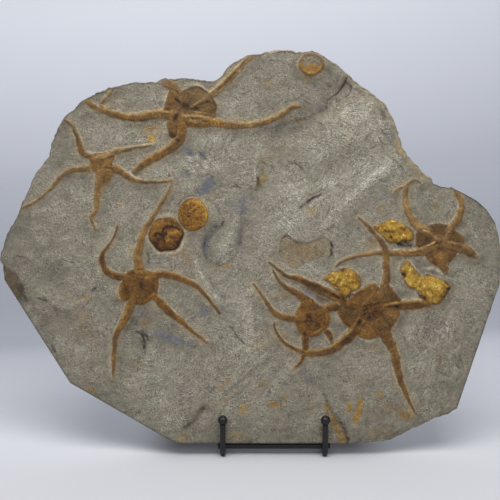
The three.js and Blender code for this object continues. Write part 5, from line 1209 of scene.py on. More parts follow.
        # a pale worked line round each raised thing, brighter on its side towards the light: painted
        # highlight there
        line = np.exp(-((self.gap - 1.0) / 0.75) ** 2)
        m["pale"] += bare * (0.75 * line * work * (0.45 + 0.55 * smooth(-0.3, 0.7, lit))
                             + 0.25 * np.exp(-((self.gap - 2.5) / 2.5) ** 2) * other)
        away = np.clip(self.gap, 0, None)
        # painted light on the bank towards the light, painted shade on the stone beside the side away from
        # it, and a little darker all round
        m["tone"] += bare * (0.2 * np.exp(-((away - 4) / 3) ** 2) * smooth(0, 0.8, lit)
                             - 1.1 * np.exp(-(away / 6) ** 2) * smooth(-0.1, 0.7, -lit) * (0.6 + 0.4 * work)
                             - 0.2 * np.exp(-(away / 9) ** 2))
        m["rust"] += bare * 0.27 * np.exp(-(away / 4) ** 2) * (0.6 + 0.4 * other)
        # an ochre fringe, partly painted shade, and a painted shadow line on the side away from the light
        fringe = np.exp(-(away / 1.5) ** 2)
        m["rust"] += bare * 0.55 * fringe * other * smooth(0.5, -0.5, lit)
        m["dark"] += bare * 0.4 * np.exp(-((self.gap - 0.4) / 0.8) ** 2) * smooth(0.1, -0.9, lit) * work

    def hollow(self, loop):
        """The points near a hollow, how far inside it each one lies, and how much it covers them."""
        loop = curve_through(loop, 1.5, closed=True)[0]
        index, x, y = self.near_loop(loop, 6)
        d = inside_distance(x, y, loop) + 0.8 * fbm(x, y, 6, 151, 3)
        return index, x, y, d, smooth(-0.6, 0.8, d) * (1 - self.masks["fossil"][index])

    def recesses(self):
        m = self.masks
        for loop, depth, rust, tone in ((RECESS, 1.2, 0.42, 0.3), (WEDGE, 1.6, 1.0, 0.15)):
            index, x, y, d, inside = self.hollow(loop)
            self.ground[index] -= inside * depth
            self.ground[index] += inside * 0.25 * fbm(x, y, 5, 154, 3)
            m["rust"][index] = (m["rust"][index] * (1 - inside)
                                + inside * rust * (0.85 + 0.5 * fbm(x, y, 6, 155, 3)))
            m["tone"][index] -= inside * tone
            # painted shade in broken stretches along the rim of the hollow
            m["dark"][index] += 0.4 * np.exp(-((d - 0.1) / 0.7) ** 2) * smooth(-0.4, 0.3, x / 40 % 1 - 0.1)
        index, x, y, d, inside = self.hollow(CHIP)
        self.ground[index] -= inside * (5 * smooth(0, 16, d) + 0.5 + 0.5 * fbm(x, y, 6, 152, 3))
        m["tone"][index] -= inside * (0.95 + 0.5 * fbm(x, y, 7, 153, 3))
        m["rust"][index] += 0.28 * inside

    def along(self, points, margin):
        """The points near a curve, and how far each one lies from it."""
        line = curve_through(points, 1.0)[0]
        index, x, y = self.near_loop(line, margin)
        away = np.full(x.shape, 1e9)
        for (ax, ay), (bx, by) in zip(line, line[1:]):
            away = np.minimum(away, along_segment(x, y, ax, ay, bx, by)[0])
        return index, x, y, away

    def lines(self):
        m = self.masks
        for half, depth, dark, points in LINES:
            index, x, y, away = self.along(points, 6)
            cut = np.exp(-((away + 0.4 * noise(x, y, 3, 161)) / half) ** 2)
            cut = cut * (0.75 + 0.4 * noise(x, y, 6, 162))
            self.ground[index] -= depth * cut
            # painted dark along the groove: the crack's own dark fill and painted shade in it
            m["dark"][index] += dark * (1.9 - 0.9 * m["fossil"][index]) * cut

    def strokes(self):
        m = self.masks
        for kind, amount, half, height, points in STROKES:
            index, x, y, away = self.along(points, MARK_REACH * half + 2)
            broken = 0.7 + 0.5 * noise(x, y, 5, 163) + 0.3 * noise(x, y, 2.2, 164)
            mark = np.exp(-((away + 0.3 * noise(x, y, 2.4, 165)) / half) ** 2) * np.clip(broken, 0, 1.2)
            self.ground[index] += height * mark
            if kind == "flesh":
                fossil = m["fossil"][index]
                m["warm"][index] = np.where(fossil < 0.1, 0.6, m["warm"][index])
                m["fossil"][index] = np.maximum(fossil, np.clip(amount * 1.3 * mark, 0, 1))
            else:
                if kind == "dark":
                    mark = mark * (1.6 - 0.6 * m["fossil"][index])
                m[kind][index] += amount * mark
        for amount, half, points in CREASES:
            index, x, y, away = self.along(points, MARK_REACH * half + 2)
            mark = np.exp(-((away + 0.25 * noise(x, y, 2.4, 168)) / half) ** 2)
            mark = mark * (0.85 + 0.3 * noise(x, y, 3, 169))
            m["shade"][index] += amount * mark
            self.ground[index] += 0.22 * amount * mark
        for amount, half, points in GOLDEN_THREADS:
            index, x, y, away = self.along(points, MARK_REACH * half + 2)
            mark = np.exp(-((away + 0.3 * noise(x, y, 2, 170)) / half) ** 2)
            m["gold_kind"][index] += amount * mark
            self.ground[index] += 0.5 * amount * mark
        for kind, amount, cx, cy, rx, ry, turn in SPOTS:
            m[kind] += amount * blob(self.x, self.y, cx, cy, rx, ry, turn) * (
                0.8 + 0.5 * noise(self.x, self.y, 3, 166))
        for cx, cy, rx, ry, turn, amount in GAPS:
            spot = blob(self.x, self.y, cx, cy, rx, ry, turn) * (1 + 0.6 * noise(self.x, self.y, 3, 167))
            m["fossil"] *= 1 - amount * smooth(0.3, 0.7, spot)

    def edges(self):
        """The face falls away at its border, softly on the rounded side and raggedly where broken."""
        x, y, m = self.x, self.y, self.masks
        sawn = ((y > 279) & (x < 163)) | ((y > 400) & (x < 360)) | ((x > 440) & (y > 292))
        rounded = (x > 455) & (y < 300)
        fall = np.where(sawn, 0.35, np.where(rounded, 2.0, 1.5))
        reach = np.where(sawn, 0.9, np.where(rounded, 3.4, 2.4))
        self.height -= fall * np.exp(-self.border / reach) * (1 + 0.5 * fbm(x, y, 8, 171, 2) * ~sawn)
        chips = smooth(0.15, 0.6, fbm(x, y, 12, 172, 3)) * np.exp(-(self.border / 5) ** 2) * ~sawn
        self.height -= 1.3 * chips
        cream = (x > 330) & (x < 436) & (y < 190)
        crust = smooth(0.0, 0.5, fbm(x, y, 14, 173, 3, 0.7)) * cream * np.exp(-(self.border / 3) ** 2)
        m["pale"] += 0.35 * cream * np.exp(-self.border / 1.6) + 0.3 * crust
        m["rust"] += 0.75 * crust
        m["dark"] += 0.3 * sawn * np.exp(-self.border / 1.2)


# ------------------------------------------------------------------ points on the face

FINE = 1.02                         # spacing near the raised things
COARSE = 1.76                       # and on the bare stone
FINE_GAP = 2.2                      # how far from a raised thing the fine grid reaches
CELL = 0.72                         # no two points lie in one cell
JITTER = 0.22                       # how far a point moves, in spacings
GRID_RIGHT, GRID_TOP, GRID_BOTTOM = 503, 46, 446
ROW = 1.05                          # spacing along the rows that follow edges and marks
ARM_ROWS = (0, -0.5, 0.5, -0.95, 0.95, -1.3, 1.3)      # in half widths
MARK_ROWS = (-0.85, 0, 0.85)
THIN_MARK = 1.1                     # strokes up to this half width get rows
DISC_ROWS = (0.88, 0.98, 1.06)
DISC_POINTS = 90
EDGE_CLEAR = 0.7                    # inner points stay this far from the face's edge


def grid(spacing, seed):
    """A jittered grid of points over the face, every other row set over by half a step."""
    x = np.arange(0, GRID_RIGHT, spacing)
    y = np.arange(GRID_TOP, GRID_BOTTOM, spacing)
    gx, gy = np.meshgrid(x, y)
    gx[::2] += spacing / 2
    gx, gy = gx.ravel(), gy.ravel()
    ix, iy = np.arange(gx.size), np.zeros(gx.size, np.int64)
    move = JITTER * spacing
    return gx + move * hashed(ix, iy, seed), gy + move * hashed(ix, iy, seed + 1)


def line_and_across(points):
    """Samples along a curve, and the unit direction across it at each one."""
    line = curve_through(points, ROW)[0]
    ahead = np.gradient(line[:, :2], axis=0)
    ahead /= np.linalg.norm(ahead, axis=1)[:, None]
    return line, np.stack([-ahead[:, 1], ahead[:, 0]], axis=1)


def feature_rows():
    """Points along every arm and mark and round every outline, so that the mesh follows them."""
    rows = []
    for star in STARFISH:
        for points, *_ in star["arms"]:
            line, across = line_and_across(points)
            rows += [line[:, :2] + across * (line[:, 2:] * t + np.sign(t) * 0.1) for t in ARM_ROWS]
        rows += [curve_through(loop, ROW, closed=True)[0] for _, _, loop in star["petals"]]
    marks = [points for *_, points in LINES]
    marks += [points for _, _, half, _, points in STROKES if half <= THIN_MARK]
    for points in marks:
        line, across = line_and_across(points)
        rows += [line + across * side for side in MARK_ROWS]
    for loop in [loop for loop, _ in NODULES] + [RECESS]:
        rows.append(curve_through(loop, ROW, closed=True)[0])
    a = np.linspace(0, 2 * math.pi, DISC_POINTS, endpoint=False)
    for cx, cy, rx, ry, _ in ROUND_FORMS:
        rows += [np.stack([cx + k * rx * np.cos(a), cy + k * ry * np.sin(a)], axis=1) for k in DISC_ROWS]
    return np.concatenate(rows)


def fossil_gap(x, y):
    """Rough distance to the nearest raised thing, for choosing where the mesh is fine."""
    gap = np.full(x.shape, FAR)
    for star in STARFISH:
        for _, _, loop in star["petals"]:
            gap = np.minimum(gap, -inside_distance(x, y, np.array(loop, float)))
        for points, *_ in star["arms"]:
            for (ax, ay, ar), (bx, by, br) in zip(points, points[1:]):
                away, t = along_segment(x, y, ax, ay, bx, by)
                gap = np.minimum(gap, away - ar - t * (br - ar))
    for loop, _ in NODULES:
        gap = np.minimum(gap, -inside_distance(x, y, np.array(loop, float)))
    for cx, cy, rx, ry, _ in ROUND_FORMS:
        gap = np.minimum(gap, (np.hypot((x - cx) / rx, (y - cy) / ry) - 1) * rx)
    return gap


def face_points():
    """The inner points of the face: the rows first, then fine and coarse grid, thinned by cell."""
    fine = np.stack(grid(FINE, 201), 1)
    fine = fine[fossil_gap(*fine.T) < FINE_GAP]
    coarse = np.stack(grid(COARSE, 203), 1)
    coarse = coarse[fossil_gap(*coarse.T) >= FINE_GAP]
    points = np.concatenate([feature_rows(), fine, coarse])
    points = points[inside_distance(*points.T, face_edge) > EDGE_CLEAR]
    cell = np.floor(points / CELL).astype(np.int64)
    _, keep = np.unique(cell, axis=0, return_index=True)
    return points[np.sort(keep)]


def triangulate(ring, inner):
    """Triangles over the ring and the points inside it; the ring's points come first."""
    points = np.concatenate([ring, inner])
    n = len(ring)
    edges = [(i, (i + 1) % n) for i in range(n)]
    corners = [Vector(p) for p in points]
    verts, _, faces, origin, _, _ = geometry.delaunay_2d_cdt(corners, edges, [], 1, 1e-6)
    index = [o[0] if o else int(np.hypot(*(points - np.array(v)).T).argmin())
             for v, o in zip(verts, origin)]
    faces = np.array([[index[i] for i in face] for face in faces], np.int64)
    a, b, c = faces.T
    return faces[(a != b) & (b != c) & (c != a)]


# ------------------------------------------------------------------ the slab's mesh

DEPTHS = (0.9, 2.2, 4.2, 6.8, 9.8, 13.0, 16.2, 19.0, 21.2)     # mm under the face
BACK_SPACING = 4.6
BACK_CLEAR = 2.5                    # the back's inner points stay this far from its edge
LAYER = 2.6                         # mm between the ledges of the broken edge
edge_run = edge_turn * 1500         # distance round the edge, for the noise on it


def side_rings():
    """The rings of the edge from just under the face to the back, as x, y and height."""
    rings = []
    for depth in DEPTHS:
        # 1 is the inset of the front edge, 0 the silhouette, and -1 the inset of the back edge
        part = np.interp(depth, [0, 3.2, 11, 20.5, THICKNESS], [1, 0.45, 0, -1, -1.35])
        inset = part * front_inset if part > 0 else -part * edge_back
        layer = depth + 1.2 * noise(edge_run, edge_run * 0, 30, 211)
        ledge = noise(np.floor(layer / LAYER) * 9.7, edge_run, 14, 212)
        facet = fbm(edge_run, layer * 3, 9, 213, 3)
        shift = edge_rough * (0.75 * ledge + 0.9 * facet) + 0.05 * noise(edge_run, layer * 4, 3, 214)
        shift = np.clip(shift, -0.8, 2) * smooth(0, 2.5, depth) * smooth(23, 17, depth)
        place = edge_loop + edge_inward * (inset + shift)[:, None]
        height = -depth + 0.3 * edge_rough * noise(edge_run, layer, 7, 215)
        rings.append((place[:, 0], place[:, 1], height))
    return rings


def back_height(x, y):
    """Cleaved back: inside the slab's thickness, flat on the easel, with low ledges."""
    step = fbm(x, y, 80, 221, 3)
    ledge = 0.8 * smooth(0.05, 0.12, step) + 0.7 * smooth(-0.2, -0.12, step)
    return -THICKNESS + np.clip(0.15 + ledge + 0.5 * fbm(x, y, 16, 222, 4), 0.02, 2.4)


# The bake map: the face above, and under it the back on the left and three strips of the edge.
MAP_MARGIN, MAP_TOP = 0.01, 0.99
FACE_PART, BACK_PART, BACK_TOP = 0.98, 0.26, 0.205
STRIPS = 3
STRIP_LEFT, STRIP_LENGTH = 0.3, 0.68
STRIP_TOP, STRIP_PITCH, STRIP_WIDTH = 0.195, 0.065, 0.055


def side_faces(starts):
    """The triangles between rings whose points begin at `starts`, and their places on the map."""
    n = len(edge_loop)
    i = np.arange(n)
    j = (i + 1) % n
    strip_points = n / STRIPS
    row = np.minimum((i / strip_points).astype(int), STRIPS - 1)
    u0, u1 = (STRIP_LEFT + STRIP_LENGTH * (at - row * strip_points) / strip_points for at in (i, i + 1))
    levels = np.array((0,) + DEPTHS) / THICKNESS
    faces, uvs = [], []
    for a, b, *level in zip(starts, starts[1:], levels, levels[1:]):
        v0, v1 = (STRIP_TOP - row * STRIP_PITCH - STRIP_WIDTH * down for down in level)
        faces += [np.stack([a + i, b + i, b + j], 1), np.stack([a + i, b + j, a + j], 1)]
        for corners in ([(u0, v0), (u0, v1), (u1, v1)], [(u0, v0), (u1, v1), (u1, v0)]):
            uvs.append(np.stack([np.stack(corner, 1) for corner in corners], 1))
    return faces, uvs


def side_paint(count):
    """Tone, pale and rust of the rings: darker than the face, and cream with rust at the upper right."""
    run, rough = np.tile(edge_run, count), np.tile(edge_rough, count)
    depth = np.repeat(DEPTHS, len(edge_loop))
    x, y = np.tile(edge_loop.T, count)
    cream = ((x > 255) & (x < 436) & (y < 190)).astype(float) * smooth(-0.2, 0.5, rough)
    return {
        "tone": -0.55 + 0.5 * fbm(run, depth * 4, 12, 241, 4) + 0.3 * noise(run * 0, depth, 1.3, 242),
        "pale": 1.1 * cream * (0.75 + 0.5 * fbm(run, depth * 3, 14, 243, 3)) * smooth(0.5, 2.5, depth),
        "rust": cream * smooth(0.05, 0.5, fbm(run, depth * 2, 16, 244, 3)) * smooth(0.5, 4, depth)}


def build_slab():
    """One closed mesh: the face, the rings of the edge and the back."""
    inner = face_points()
    face_faces = triangulate(face_edge, inner)
    x, y = np.concatenate([face_edge, inner]).T
    face = Face(x, y)

    rings = side_rings()
    last = np.stack(rings[-1][:2], 1)
    n = len(last)
    back_inner = np.stack(grid(BACK_SPACING, 231), 1)
    back_inner = back_inner[inside_distance(*back_inner.T, last) > BACK_CLEAR]
    xb, yb = back_inner.T
    back_faces = triangulate(last, back_inner)

    points = np.concatenate([to_world(x, y, face.height)] + [to_world(*ring) for ring in rings]
                            + [to_world(xb, yb, back_height(xb, yb))])
    starts = [0] + [len(x) + k * n for k in range(len(rings))]
    back_start = len(x) + len(rings) * n

    face_uv = np.stack([MAP_MARGIN + x * (FACE_PART / GRID_ACROSS),
                        MAP_TOP - (y - GRID_TOP) * (FACE_PART / GRID_ACROSS)], 1)
    back_x, back_y = np.concatenate([last, back_inner]).T
    back_uv = np.stack([MAP_MARGIN + (GRID_ACROSS - back_x) * BACK_PART / GRID_ACROSS,
                        BACK_TOP - (back_y - GRID_TOP) * BACK_PART / GRID_ACROSS], 1)
    faces, uvs = side_faces(starts)
    faces = [face_faces[:, ::-1], *faces,
             np.where(back_faces < n, back_faces + starts[-1], back_faces - n + back_start)]
    uvs = [face_uv[face_faces[:, ::-1]], *uvs, back_uv[back_faces]]
    faces, uvs = np.concatenate(faces), np.concatenate(uvs)
    a, b, c = points[faces.T]
    if np.einsum("ij,ij->i", a, np.cross(b, c)).sum() < 0:
        faces, uvs = faces[:, ::-1], uvs[:, ::-1]

    values = {name: np.concatenate([face.masks[name], np.zeros(len(points) - len(x))])
              for name in Face.NAMES}
    for name, paint in side_paint(len(rings)).items():
        values[name][len(x):back_start] = paint
    values["tone"][back_start:] = -0.45 + 0.8 * fbm(xb, yb, 60, 251, 5)
    values["rust"][back_start:] = 0.35 * smooth(0.1, 0.7, fbm(xb, yb, 45, 252, 4))
    return points, faces, uvs, values


def mesh_object(name, points, faces, uvs=None, values=None):
    """A smooth object from faces of one size, with a bake map and vertex values."""
    mesh = bpy.data.meshes.new(name)
    mesh.vertices.add(len(points))
    mesh.vertices.foreach_set("co", np.asarray(points, np.float32).ravel())
    count, size = np.shape(faces)
    mesh.loops.add(count * size)
    mesh.loops.foreach_set("vertex_index", np.asarray(faces, np.int32).ravel())
    mesh.polygons.add(count)
    mesh.polygons.foreach_set("loop_start", np.arange(count, dtype=np.int32) * size)
    mesh.update(calc_edges=True)
    mesh.polygons.foreach_set("use_smooth", np.ones(count, bool))
    if uvs is not None:
        layer = mesh.uv_layers.new(name="OFBake")
        layer.data.foreach_set("uv", np.asarray(uvs, np.float32).ravel())
    for key, value in (values or {}).items():
        attribute = mesh.attributes.new(key, "FLOAT", "POINT")
        attribute.data.foreach_set("value", np.asarray(value, np.float32))
    mesh.validate()
    piece = bpy.data.objects.new(name, mesh)
    bpy.context.scene.collection.objects.link(piece)
    return piece


# ------------------------------------------------------------------ materials

def linear(*rgb):
    """sRGB from 0 to 255 to linear colour."""
    parts = [value / 255 for value in rgb]
    return (*(c / 12.92 if c <= 0.04045 else ((c + 0.055) / 1.055) ** 2.4 for c in parts), 1)


def stops(*rows):
    """The stops of a colour ramp from rows of place, red, green and blue."""
    return [(place, linear(*rgb)) for place, *rgb in rows]


class Graph:
    """A short way to write a node material. Sizes are in mm, coordinates in metres."""

    def __init__(self, name):
        self.material = bpy.data.materials.new(name)
        self.material.use_nodes = True
        self.tree = self.material.node_tree
        self.tree.nodes.clear()
        self.output = self.node("ShaderNodeOutputMaterial")
        self.shader = self.node("ShaderNodeBsdfPrincipled")
        self.tree.links.new(self.shader.outputs[0], self.output.inputs[0])
        self.coords = self.node("ShaderNodeTexCoord").outputs["Object"]

    def node(self, kind, **settings):
        """A new node with its settings."""
        node = self.tree.nodes.new(kind)
        for key, value in settings.items():
            setattr(node, key, value)
        return node

    def put(self, socket, value):
        """Links an output to the socket, or sets a plain value on it."""
        if isinstance(value, bpy.types.NodeSocket):
            self.tree.links.new(value, socket)
        else:
            socket.default_value = value

    def value(self, name):
        """A value stored on the mesh's points."""
        return self.node("ShaderNodeAttribute", attribute_name=name).outputs["Fac"]

    def maths(self, operation, a, b=0.0, clamp=False):
        node = self.node("ShaderNodeMath", operation=operation, use_clamp=clamp)
        self.put(node.inputs[0], a)
        self.put(node.inputs[1], b)
        return node.outputs[0]

    def add(self, a, b):
        return self.maths("ADD", a, b)

    def times(self, a, b):
        return self.maths("MULTIPLY", a, b)

    def placed(self, coords, scale, turn):
        """Coordinates turned about Y by degrees and then scaled."""
        spin = self.node("ShaderNodeMapping")
        self.put(spin.inputs["Vector"], coords)
        spin.inputs["Rotation"].default_value = (0, math.radians(turn), 0)
        stretch = self.node("ShaderNodeMapping")
        self.put(stretch.inputs["Vector"], spin.outputs[0])
        stretch.inputs["Scale"].default_value = scale
        return stretch.outputs[0]

    def scaled(self, value, gain, offset, clamp=False):
        """value * gain + offset"""
        node = self.node("ShaderNodeMath", operation="MULTIPLY_ADD", use_clamp=clamp)
        for socket, number in zip(node.inputs, (value, gain, offset)):
            self.put(socket, number)
        return node.outputs[0]

    def noise_node(self, size_mm, detail, rough=0.5, coords=None):
        """A noise node with features of the given size."""
        node = self.node("ShaderNodeTexNoise")
        self.put(node.inputs["Vector"], coords or self.coords)
        node.inputs["Scale"].default_value = 1000 / size_mm
        node.inputs["Detail"].default_value = detail
        node.inputs["Roughness"].default_value = rough
        return node

    def centred(self, size_mm, detail=3, rough=0.6, coords=None):
        """Noise from about -1 to 1, with features of the given size."""
        return self.scaled(self.noise_node(size_mm, detail, rough, coords).outputs[0], 3.6, -1.8)

    def vectors(self, operation, *values):
        """A vector maths node's result."""
        node = self.node("ShaderNodeVectorMath", operation=operation)
        for socket, value in zip(node.inputs, values):
            self.put(socket, value)
        return node.outputs[0]

    def swirled(self, size_mm, amount_mm):
        """Coordinates pushed about by slow noise, so that strokes drawn on them swirl."""
        push = self.noise_node(size_mm, 2).outputs["Color"]
        return self.vectors("MULTIPLY_ADD", push, (amount_mm / 500,) * 3, self.coords)

    def brushed(self, patch_mm, width_mm, stretch):
        """Short strokes that run one way within each patch."""
        patch = self.node("ShaderNodeTexVoronoi", feature="F1")
        self.put(patch.inputs["Vector"], self.swirled(patch_mm * 1.4, patch_mm * 1.2))
        patch.inputs["Scale"].default_value = 1000 / patch_mm
        shade = self.node("ShaderNodeSeparateColor")
        self.put(shade.inputs[0], patch.outputs["Color"])
        spin = self.node("ShaderNodeVectorRotate", rotation_type="Y_AXIS")
        self.put(spin.inputs["Vector"], self.vectors("SUBTRACT", self.coords, patch.outputs["Position"]))
        self.put(spin.inputs["Angle"], self.scaled(shade.outputs[0], math.pi, 0))
        drawn_out = self.vectors("MULTIPLY_ADD", spin.outputs[0], (1 / stretch, 1, 1),
                                 patch.outputs["Color"])
        return self.centred(width_mm, 2, 0.6, drawn_out)

    def ramp(self, factor, rows):
        """A colour ramp from the rows that stops() gives."""
        node = self.node("ShaderNodeValToRGB")
        elements = node.color_ramp.elements
        while len(elements) < len(rows):
            elements.new(0.5)
        for element, (place, colour) in zip(elements, rows):
            element.position = place
            element.color = colour
        self.put(node.inputs[0], factor)
        return node.outputs[0]

    def mix(self, factor, a, b):
        """Colour a where the factor is 0, and colour b where it is 1."""
        node = self.node("ShaderNodeMix", data_type="RGBA", clamp_factor=True)
        for socket, value in zip((0, 6, 7), (factor, a, b)):
            self.put(node.inputs[socket], value)
        return node.outputs[2]

    def mix_values(self, factor, a, b):
        """The same for plain values."""
        node = self.node("ShaderNodeMix", data_type="FLOAT")
        for socket, value in zip((0, 2, 3), (factor, a, b)):
            self.put(node.inputs[socket], value)
        return node.outputs[0]

    def bump(self, height, distance_mm, strength):
        """The normal of fine relief that the mesh doesn't carry."""
        node = self.node("ShaderNodeBump")
        node.inputs["Strength"].default_value = strength
        node.inputs["Distance"].default_value = distance_mm / 1000
        self.put(node.inputs["Height"], height)
        return node.outputs[0]

    def finish(self, colour, roughness, normal=None, **extra):
        """Sets the shader's sockets, and gives the material."""
        self.put(self.shader.inputs["Base Color"], colour)
        self.put(self.shader.inputs["Roughness"], roughness)
        if normal is not None:
            self.put(self.shader.inputs["Normal"], normal)
        for key, value in extra.items():
            self.put(self.shader.inputs[key.replace("_", " ")], value)
        return self.material


GREENISH = stops((0.0, 61, 60, 50), (0.2, 92, 90, 77), (0.4, 121, 118, 101), (0.58, 144, 141, 122),
                 (0.78, 167, 165, 147), (1.0, 199, 198, 183))
PINKISH = stops((0.0, 63, 57, 51), (0.2, 95, 87, 79), (0.4, 123, 114, 103), (0.58, 146, 137, 124),
                (0.78, 169, 160, 149), (1.0, 201, 194, 185))
BLUE_GREY = stops((0, 66, 66, 70), (0.5, 101, 101, 104), (1, 136, 135, 135))
RUST = stops((0, 98, 70, 30), (0.5, 144, 114, 56), (1, 184, 154, 84))
BROWN = stops((0.0, 40, 27, 14), (0.3, 79, 59, 35), (0.52, 108, 84, 52), (0.75, 144, 120, 83),
              (1.0, 187, 167, 132))
ORANGE = stops((0.0, 40, 23, 7), (0.3, 83, 54, 19), (0.52, 116, 81, 33), (0.75, 152, 116, 57),
               (1.0, 196, 163, 104))
LEMON = stops((0.0, 52, 36, 16), (0.2, 94, 69, 26), (0.36, 130, 100, 36), (0.56, 160, 130, 44),
              (0.78, 184, 157, 66), (1.0, 208, 190, 136))
AMBER = stops((0.0, 44, 26, 14), (0.2, 84, 53, 22), (0.36, 121, 83, 31), (0.56, 152, 110, 39),
              (0.78, 178, 138, 58), (1.0, 206, 184, 128))
CLAY_VEIL, CREAM, CRACK_AND_SHADE = linear(136, 117, 78), linear(176, 165, 140), linear(32, 26, 19)


def stone_material():
    """Siltstone with the fossils in it, painted by the values that the face keeps on its points."""
    g = Graph("siltstone_with_fossils")
    add, times, scaled, value = g.add, g.times, g.scaled, g.value
    speck = g.centred(1.5, 1, 0.7)
    grit = g.centred(3.0, 2, 0.7)
    grain = g.centred(6.5, 4, 0.65)
    drift = g.centred(30, 5, 0.62)

    # strokes of the brush: up to the right or nearly level by patches, and standing in one corner
    swirl = g.swirled(70, 30)
    right = g.centred(2.6, 2, 0.65, g.placed(swirl, (0.3, 1, 1), 40))
    level = g.centred(2.6, 2, 0.65, g.placed(swirl, (0.3, 1, 1), -12))
    steep = g.centred(2.4, 2, 0.65, g.placed(swirl, (0.14, 1, 1), 68))
    bands = g.centred(13, 4, 0.65, g.placed(swirl, (0.35, 1, 1), 30))
    which = scaled(g.centred(45, 2, 0.5), 2.5, 0.5, clamp=True)
    strokes = g.mix_values(which, level, right)
    strokes = g.mix_values(value("steep"), strokes, times(steep, 1.7))
    hatch = add(g.brushed(40, 1.9, 9), times(g.brushed(19, 1.4, 7), 0.8))

    # lighter and darker stone; the pale patches are the roughest
    tone = add(value("tone"), add(times(drift, 0.25), times(bands, 0.4)))
    rough_patch = scaled(add(tone, g.centred(17, 3, 0.6)), 0.5, 0.8)
    rough_patch = g.maths("MINIMUM", g.maths("MAXIMUM", rough_patch, 0.4), 1.25)
    fine = add(add(times(speck, 0.95), times(hatch, 0.6)), add(times(grit, 0.45), times(strokes, 0.65)))
    fine = times(fine, rough_patch)
    tone = add(add(tone, times(grain, 0.4)), fine)
    lightness = scaled(tone, 0.2, 0.46)
    hue = add(g.centred(8, 4, 0.75), times(g.centred(40, 2, 0.5), 0.6))
    base = g.mix(scaled(hue, 0.55, 0.5, clamp=True), g.ramp(lightness, GREENISH),
                 g.ramp(lightness, PINKISH))

    # what lies on the stone: blue-grey patches, a clay veil, rust and pale dust
    cool = scaled(add(value("cool"), times(add(grit, grain), 0.3)), 1.3, -0.25, clamp=True)
    cool = times(cool, scaled(value("cool"), 0.9, 0, clamp=True))
    base = g.mix(cool, base, g.ramp(scaled(add(fine, grain), 0.22, 0.5), BLUE_GREY))
    veil = scaled(add(g.centred(38, 4, 0.65), times(grit, 0.5)), 0.7, -0.28, clamp=True)
    base = g.mix(times(veil, 0.55), base, CLAY_VEIL)
    rust = g.maths("MULTIPLY", value("rust"), scaled(grit, 0.5, 0.8), clamp=True)
    base = g.mix(rust, base, g.ramp(scaled(add(add(speck, grain), value("tone")), 0.3, 0.5), RUST))
    pale = g.maths("MULTIPLY", value("pale"), scaled(grit, 0.5, 0.75), clamp=True)
    base = g.mix(pale, base, CREAM)

    # the fossils, with a grainy border
    edge = scaled(g.centred(2.4, 2, 0.6), 0.3, 0)
    known = value("fossil")
    fossil = scaled(add(known, times(edge, g.maths("MINIMUM", times(known, 3), 1))), 1.5, -0.25,
                    clamp=True)
    shade = add(value("shade"), add(times(speck, 0.3), add(times(grit, 0.3), times(grain, 0.25))))
    shade = scaled(add(shade, times(hatch, 0.25)), 0.24, 0.5)
    warm = scaled(grain, 0.2, value("warm"), clamp=True)
    base = g.mix(fossil, base, g.mix(warm, g.ramp(shade, BROWN), g.ramp(shade, ORANGE)))

    # the golden forms
    crust = g.centred(2.4, 3, 0.75)
    kind = add(value("gold_kind"), add(times(crust, 0.2), times(speck, 0.14)))
    amber = scaled(grit, 0.35, value("warm"), clamp=True)
    golden = g.mix(amber, g.ramp(kind, LEMON), g.ramp(kind, AMBER))
    base = g.mix(times(scaled(value("gold"), 1, 0, clamp=True), fossil), base, golden)

    # cracks, dark specks and painted shadow lines, and the fine relief
    dark = g.maths("MULTIPLY", value("dark"), scaled(grit, 0.4, 0.8), clamp=True)
    base = g.mix(dark, base, g.mix(0.86, base, CRACK_AND_SHADE))
    height = g.mix_values(fossil, add(fine, times(grain, 0.5)),
                          add(times(speck, 0.3), add(times(grit, 0.35), times(hatch, 0.2))))
    roughness = g.mix_values(fossil, scaled(speck, 0.05, 0.88), scaled(grit, 0.08, 0.66))
    return g.finish(base, roughness, g.bump(height, 0.4, 0.9), Specular_IOR_Level=0.25)


def steel_material():
    """Satin black paint with a little dust and wear."""
    g = Graph("satin_black_paint")
    peel = g.centred(0.9, 2, 0.5)
    dust = g.centred(14, 4, 0.6)
    wear = g.centred(5, 3, 0.6)
    colour = g.ramp(g.scaled(dust, 0.3, 0.4), [
        (0, (0.007, 0.006, 0.007, 1)), (0.6, (0.012, 0.010, 0.012, 1)), (1, (0.026, 0.023, 0.026, 1))])
    rough = g.scaled(wear, 0.04, g.scaled(dust, 0.06, 0.33))
    normal = g.bump(g.add(peel, g.times(wear, 0.8)), 0.05, 0.6)
    return g.finish(colour, rough, normal, Specular_IOR_Level=0.34)


# ------------------------------------------------------------------ build

slab = mesh_object("fossil_slab", *build_slab())
slab.data.materials.append(stone_material())
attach(slab, "root")
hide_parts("slab")

paint = steel_material()
for name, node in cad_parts.items():
    if name.startswith("easel"):
        node.data.materials.clear()
        node.data.materials.append(paint)

# ------------------------------------------------------------------ stage, light and camera


FLOOR_FRONT, WALL_BACK = -4.0, 2.6         # metres along y
BEND, HALF_WIDTH, WALL_TOP = 1.1, 4.2, 3.6
BEND_STEPS = 36
RUN_START = -2.4                           # the measure along the sheet at its front edge


def sweep():
    """Table and wall in one sheet with a wide bend between them."""
    profile = [(FLOOR_FRONT, 0), (WALL_BACK - BEND, 0)]
    for k in range(1, BEND_STEPS):
        a = k / BEND_STEPS * math.pi / 2
        profile.append((WALL_BACK - BEND + BEND * math.sin(a), BEND - BEND * math.cos(a)))
    profile += [(WALL_BACK, BEND), (WALL_BACK, WALL_TOP)]
    points = [(x, y, z) for x in (-HALF_WIDTH, HALF_WIDTH) for y, z in profile]
    n = len(profile)
    faces = [(k, n + k, n + k + 1, k + 1) for k in range(n - 1)]
    run = [RUN_START]
    for (ay, az), (by, bz) in zip(profile, profile[1:]):
        run.append(run[-1] + math.hypot(by - ay, bz - az))
    return mesh_object("studio_sweep", points, faces, values={"run": run * 2})


